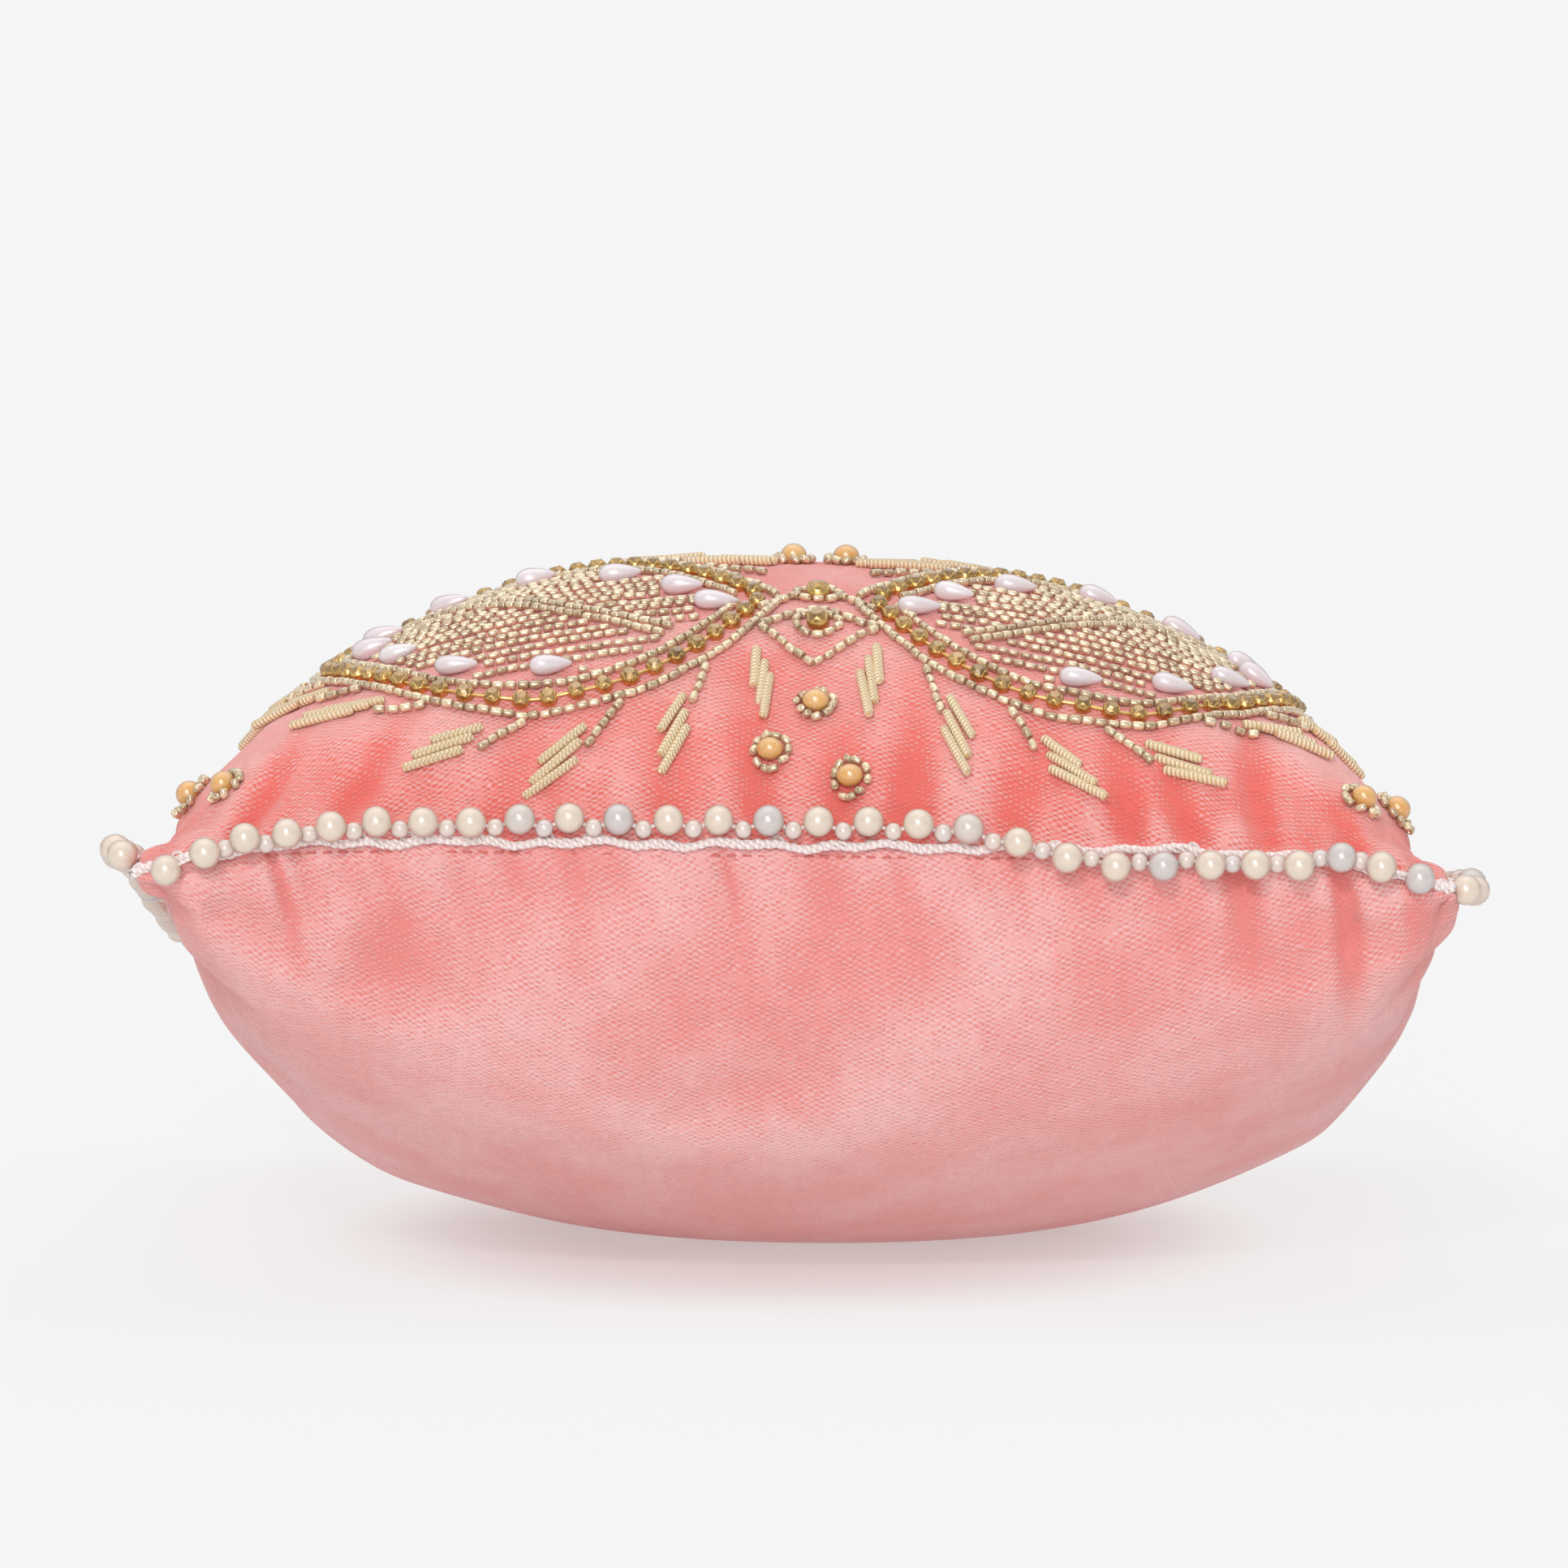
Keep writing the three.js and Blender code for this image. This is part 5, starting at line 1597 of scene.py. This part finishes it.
    def stitches(self) -> Form:
        """Short stitches just under the seam, one every 2.4 mm."""
        origins, bases = [], []
        for side in Edge:
            along = np.arange(-0.95, 0.95, 2.4 / self.shape.seam_half)
            angle = side * math.pi / 2
            forward = np.round([math.cos(angle), math.sin(angle)])
            outward = np.round([math.sin(angle), -math.cos(angle)])
            inwards = 0.9999
            s = forward[0] * along + outward[0] * inwards
            t = forward[1] * along + outward[1] * inwards
            at = self.shape.upright(s, t, Side.BOTTOM) @ self.shape.turn().T + self.shape.origin()
            tangent = unit(np.gradient(at, axis=0))
            out = np.broadcast_to(np.array([*outward, 0.0]) @ self.shape.turn().T, at.shape)
            x = unit(out - tangent * (out * tangent).sum(-1, keepdims=True))
            origins.append(at + 0.1 * x)
            bases.append(np.stack([x, np.cross(tangent, x), tangent], axis=-1))
        at, base = np.concatenate(origins), np.concatenate(bases)
        sizes = np.tile([0.2, 0.2, 0.7], (len(at), 1))
        return scatter(seed_bead(), at, base, sizes, self.rng.random(len(at)))

    def build(self) -> None:
        """Builds the cord, the pearls of each side, the small pearls and the stitches."""
        look = self.finishes
        cord = make_object("crochet_cord", self.cord(), [look["cotton"]])
        place_piece(cord, ["trim_braid"])
        smalls = []
        for side in Edge:
            name = side.name.lower()
            large, small = self.side_pearls(side)
            pearls = self.beads_on(large, self.pearl_radius, ball(12, 18), 0.03)
            form = join([pearls, self.thread(large, small)])
            obj = make_object(f"edge_pearls_{name}", form, [look["pearl"], look["cotton"]])
            place_piece(obj, [f"trim_pearls_{name}"])
            smalls.append(self.beads_on(small, self.small_radius, ball(8, 12), 0.05))
        obj = make_object("small_edge_pearls", join(smalls), [look["small_pearl"]])
        place_piece(obj, ["trim_small_pearls"])
        obj = make_object("seam_stitches", self.stitches(), [look["thread"]])
        place_piece(obj, [])


# ---- The stage -----------------------------------------------------------------------------------------


@dataclass(frozen=True)
class Studio:
    """Floor, light and camera."""

    floor_half: float = 60.0
    floor_tone: tuple = (0.15, 0.5)
    floor_painted_glow: tuple = (0.752, 0.376)
    contact_shadow_reach: tuple = (0.085, 0.1)
    sky: float = 0.80
    sun: float = 0.9
    lens: float = 237.95
    distance: float = 1.7
    elevation: float = math.radians(5)
    aim_up: float = 0.0188
    aim_right: float = -0.0014

    def floor(self) -> None:
        """A wide pale table whose emission is painted light: it glows as if lit from below, which keeps the
        shadows faint away from the belly, and its glow is painted dimmer near the belly, where a contact
        shadow shows.
        """
        h = self.floor_half * 1000
        verts = np.array([[-h, -h, 0], [h, -h, 0], [h, h, 0], [-h, h, 0]], dtype=float)
        form = Form.of(verts, [[0, 1, 2, 3]], [], np.zeros((4, 3)))
        material = bpy.data.materials.new("painted_glow_floor")
        material.use_nodes = True
        nodes = Nodes(material.node_tree)
        shader = material.node_tree.nodes["Principled BSDF"]
        x, y, _ = nodes.parts(nodes.add("ShaderNodeTexCoord").outputs["Object"])
        # Painted shade: near the belly's contact the glow is dimmer and the tone higher, so that a deeper
        # contact shadow shows there.
        across = nodes.math("POWER", nodes.math("DIVIDE", x, self.contact_shadow_reach[0]), 2.0)
        along = nodes.math("POWER", nodes.math("DIVIDE", y, self.contact_shadow_reach[1]), 2.0)
        near = nodes.ramp(nodes.math("ADD", across, along), 0.15, 1.0, (1.0, 0.0))
        tone, glow = (
            nodes.mix(near, (far,) * 3 + (1,), (close,) * 3 + (1,))
            for far, close in (self.floor_tone, self.floor_painted_glow)
        )
        nodes.put(shader.inputs["Base Color"], tone)
        # Painted light: the floor's emission makes it glow though it is no lamp.
        nodes.put(shader.inputs["Emission Color"], glow)
        shader.inputs["Emission Strength"].default_value = 1.0
        shader.inputs["Roughness"].default_value = 1.0
        shader.inputs["Specular IOR Level"].default_value = 0.0
        obj = make_object("floor", form, [material])

    def light(self) -> None:
        """Even light from the whole sky, brighter overhead, with two wide suns."""
        world = bpy.data.worlds.new("studio")
        bpy.context.scene.world = world
        world.use_nodes = True
        nodes = Nodes(world.node_tree)
        background = world.node_tree.nodes["Background"]
        way = nodes.add("ShaderNodeTexCoord").outputs["Generated"]
        height = nodes.parts(way)[2]
        strength = nodes.ramp(height, 0.0, 0.75, (0.6 * self.sky, 1.25 * self.sky))
        behind = nodes.ramp(nodes.parts(way)[1], -0.9, 0.1, (0.35, 1.0))
        strength = nodes.math("MULTIPLY", strength, behind)
        nodes.put(background.inputs["Color"], (1.0, 1.0, 1.0, 1.0))
        nodes.put(background.inputs["Strength"], strength)
        for name, strength, spread, heading in (
            ("overhead", 0.5 * self.sun, 55, (0.04, -0.1, -1.0)),
            ("front", 1.25 * self.sun, 30, (0.05, 1.0, -0.2)),
            ("glint", 0.85 * self.sun, 5, (0.16, 0.9, -0.5)),
        ):
            lamp = bpy.data.lights.new(name, "SUN")
            lamp.energy = strength
            lamp.angle = math.radians(spread)
            obj = bpy.data.objects.new(name, lamp)
            obj.rotation_mode = "QUATERNION"
            obj.rotation_quaternion = Vector(heading).to_track_quat("-Z", "Y")
            bpy.context.scene.collection.objects.link(obj)

    def camera(self, seam_centre: Array) -> None:
        """A long lens a little above the pillow, aimed just over the seam's centre."""
        camera = bpy.data.cameras.new("camera")
        camera.sensor_width = 36
        camera.lens = self.lens
        camera.clip_end = 300
        aim = Vector(seam_centre * MM) + Vector((self.aim_right, 0, self.aim_up))
        back = Vector((0, -math.cos(self.elevation), math.sin(self.elevation)))
        obj = bpy.data.objects.new("camera", camera)
        obj.location = aim + back * self.distance
        obj.rotation_mode = "QUATERNION"
        obj.rotation_quaternion = (-back).to_track_quat("-Z", "Y")
        bpy.context.scene.collection.objects.link(obj)
        bpy.context.scene.camera = obj

    def build(self, seam_centre: Array) -> None:
        """Sets up the whole stage."""
        self.floor()
        self.light()
        self.camera(seam_centre)
        bpy.context.scene.view_settings.view_transform = "Standard"


def make_finishes() -> dict[str, bpy.types.Material]:
    """Every material, by the short name used in the builders."""
    for group in (pile_group, nacre_group, gilt_group, twist_group):
        group()
    look = Finishes()
    bead = Surface("silver_lined_bead", metallic=0.55, coat=1.0, coat_roughness=0.05)
    cup = Surface("gilt_cup", metallic=1.0)
    stone = Surface("topaz", metallic=0.55, coat=1.0, coat_roughness=0.02, ior=1.7)
    coil_gold = Surface("bullion_gold", specular=0.7)
    cotton = Surface("crochet_cotton", sheen=0.3, specular=0.3, subsurface=0.15)
    coral_thread = Surface("coral_thread", specular=0.3)
    return {
        "top": look.velvet("velvet_top", (0.82, 0.16, 0.13, 1), (0.90, 0.50, 0.48, 1), 1.1, 0.2),
        # The bottom cover is the same velvet as the top, given paler deep and pale colours as painted light
        # for the brighter light on the belly.
        "bottom": look.velvet("velvet_bottom", (0.83, 0.25, 0.23, 1), (0.91, 0.56, 0.55, 1),
                              0.95, 0.3),
        "filling": look.plain("fibre_filling", (0.85, 0.84, 0.82, 1), 400),
        "pearl": look.pearl("edge_pearl", (0.71, 0.59, 0.48, 1), (0.56, 0.51, 0.50, 1)),
        "small_pearl": look.pearl("small_edge_pearl", (0.70, 0.58, 0.52, 1),
                                  (0.66, 0.58, 0.57, 1)),
        "drop": look.pearl("drop_pearl", (0.74, 0.66, 0.70, 1), (0.78, 0.72, 0.76, 1)),
        "honey": look.pearl("honey_pearl", (0.74, 0.38, 0.08, 1), (0.78, 0.46, 0.14, 1)),
        "bead": look.gilt(bead, (0.93, 0.77, 0.53, 1), (0.26, 0.16, 0.07, 1), 1400.0),
        "cup": look.gilt(cup, (0.85, 0.58, 0.22, 1), (0.45, 0.26, 0.08, 1), 1800.0),
        "crystal": look.gilt(stone, (0.50, 0.30, 0.10, 1), (0.08, 0.04, 0.015, 1), 900.0),
        # The bullion, cotton and thread colours are pairs of painted highlight for the ridges and painted
        # shade for the grooves.
        "bullion": look.wound(coil_gold, (1.0, 0.88, 0.64, 1), (0.76, 0.50, 0.24, 1),
                              0.75, 1.0, 0.00025, 0.36),
        "cotton": look.wound(cotton, (0.94, 0.84, 0.82, 1), (0.78, 0.62, 0.59, 1),
                             0.9, 1.0, 0.00012, 0.85),
        "thread": look.wound(coral_thread, (0.82, 0.28, 0.25, 1), (0.6, 0.12, 0.1, 1),
                             0.5, 1.0, 0.00005, 0.7),
    }


def build_covers(shape: PillowShape, look: dict[str, bpy.types.Material]) -> Cloth:
    """Builds both covers, and returns the top one for the bead work."""
    top = Cloth(shape, Side.TOP, CROWN_PUCKERS)
    bottom = Cloth(shape, Side.BOTTOM, BELLY_PUCKERS)
    for cloth, name, node in ((top, "velvet_top_cover", "top_cover"),
                              (bottom, "velvet_bottom_cover", "bottom_cover")):
        obj = make_object(name, cloth.form(), [look["top" if cloth is top else "bottom"]])
        place_piece(obj, [node])
    return top


def build_filling(shape: PillowShape, look: dict[str, bpy.types.Material]) -> None:
    """Builds the fibre filling: both skins, moved inwards, joined along their shared rim."""
    count, inset, floor_gap = 41, 4.0, 3.0
    line = np.linspace(-1, 1, count)
    s, t = np.meshgrid(line, line)
    grids = [shape.upright(s, t, side, inset) @ shape.turn().T + shape.origin() for side in Side]
    for grid in grids:
        grid[..., 2] = np.maximum(grid[..., 2], floor_gap)
    upper, loop = grid_quads(count), grid_rim(count)
    place = np.arange(count * count) + count * count
    place[loop] = loop
    lower = place[upper[:, ::-1]]
    verts = np.concatenate([grid.reshape(-1, 3) for grid in grids])
    marks = np.zeros((len(verts), 3))
    used, packed = np.unique(np.concatenate([upper, lower]), return_inverse=True)
    form = Form.of(verts[used], packed.reshape(-1, 4), [], marks[used])
    obj = make_object("fibre_filling", form, [look["filling"]])
    place_piece(obj, ["inner_filling"])


def main() -> None:
    """Builds the pillow's looks in order."""
    logging.basicConfig(level=logging.INFO, format="%(message)s")
    shape = PillowShape()
    LOG.info("seam centre %s", np.round(shape.origin(), 3))
    look = make_finishes()
    top = build_covers(shape, look)
    build_filling(shape, look)
    EdgeTrim(shape, look).build()
    Embroidery(Embroiderer(top, Pattern()), look).build()
    Studio().build(shape.origin())


if __name__ == "__main__":
    main()
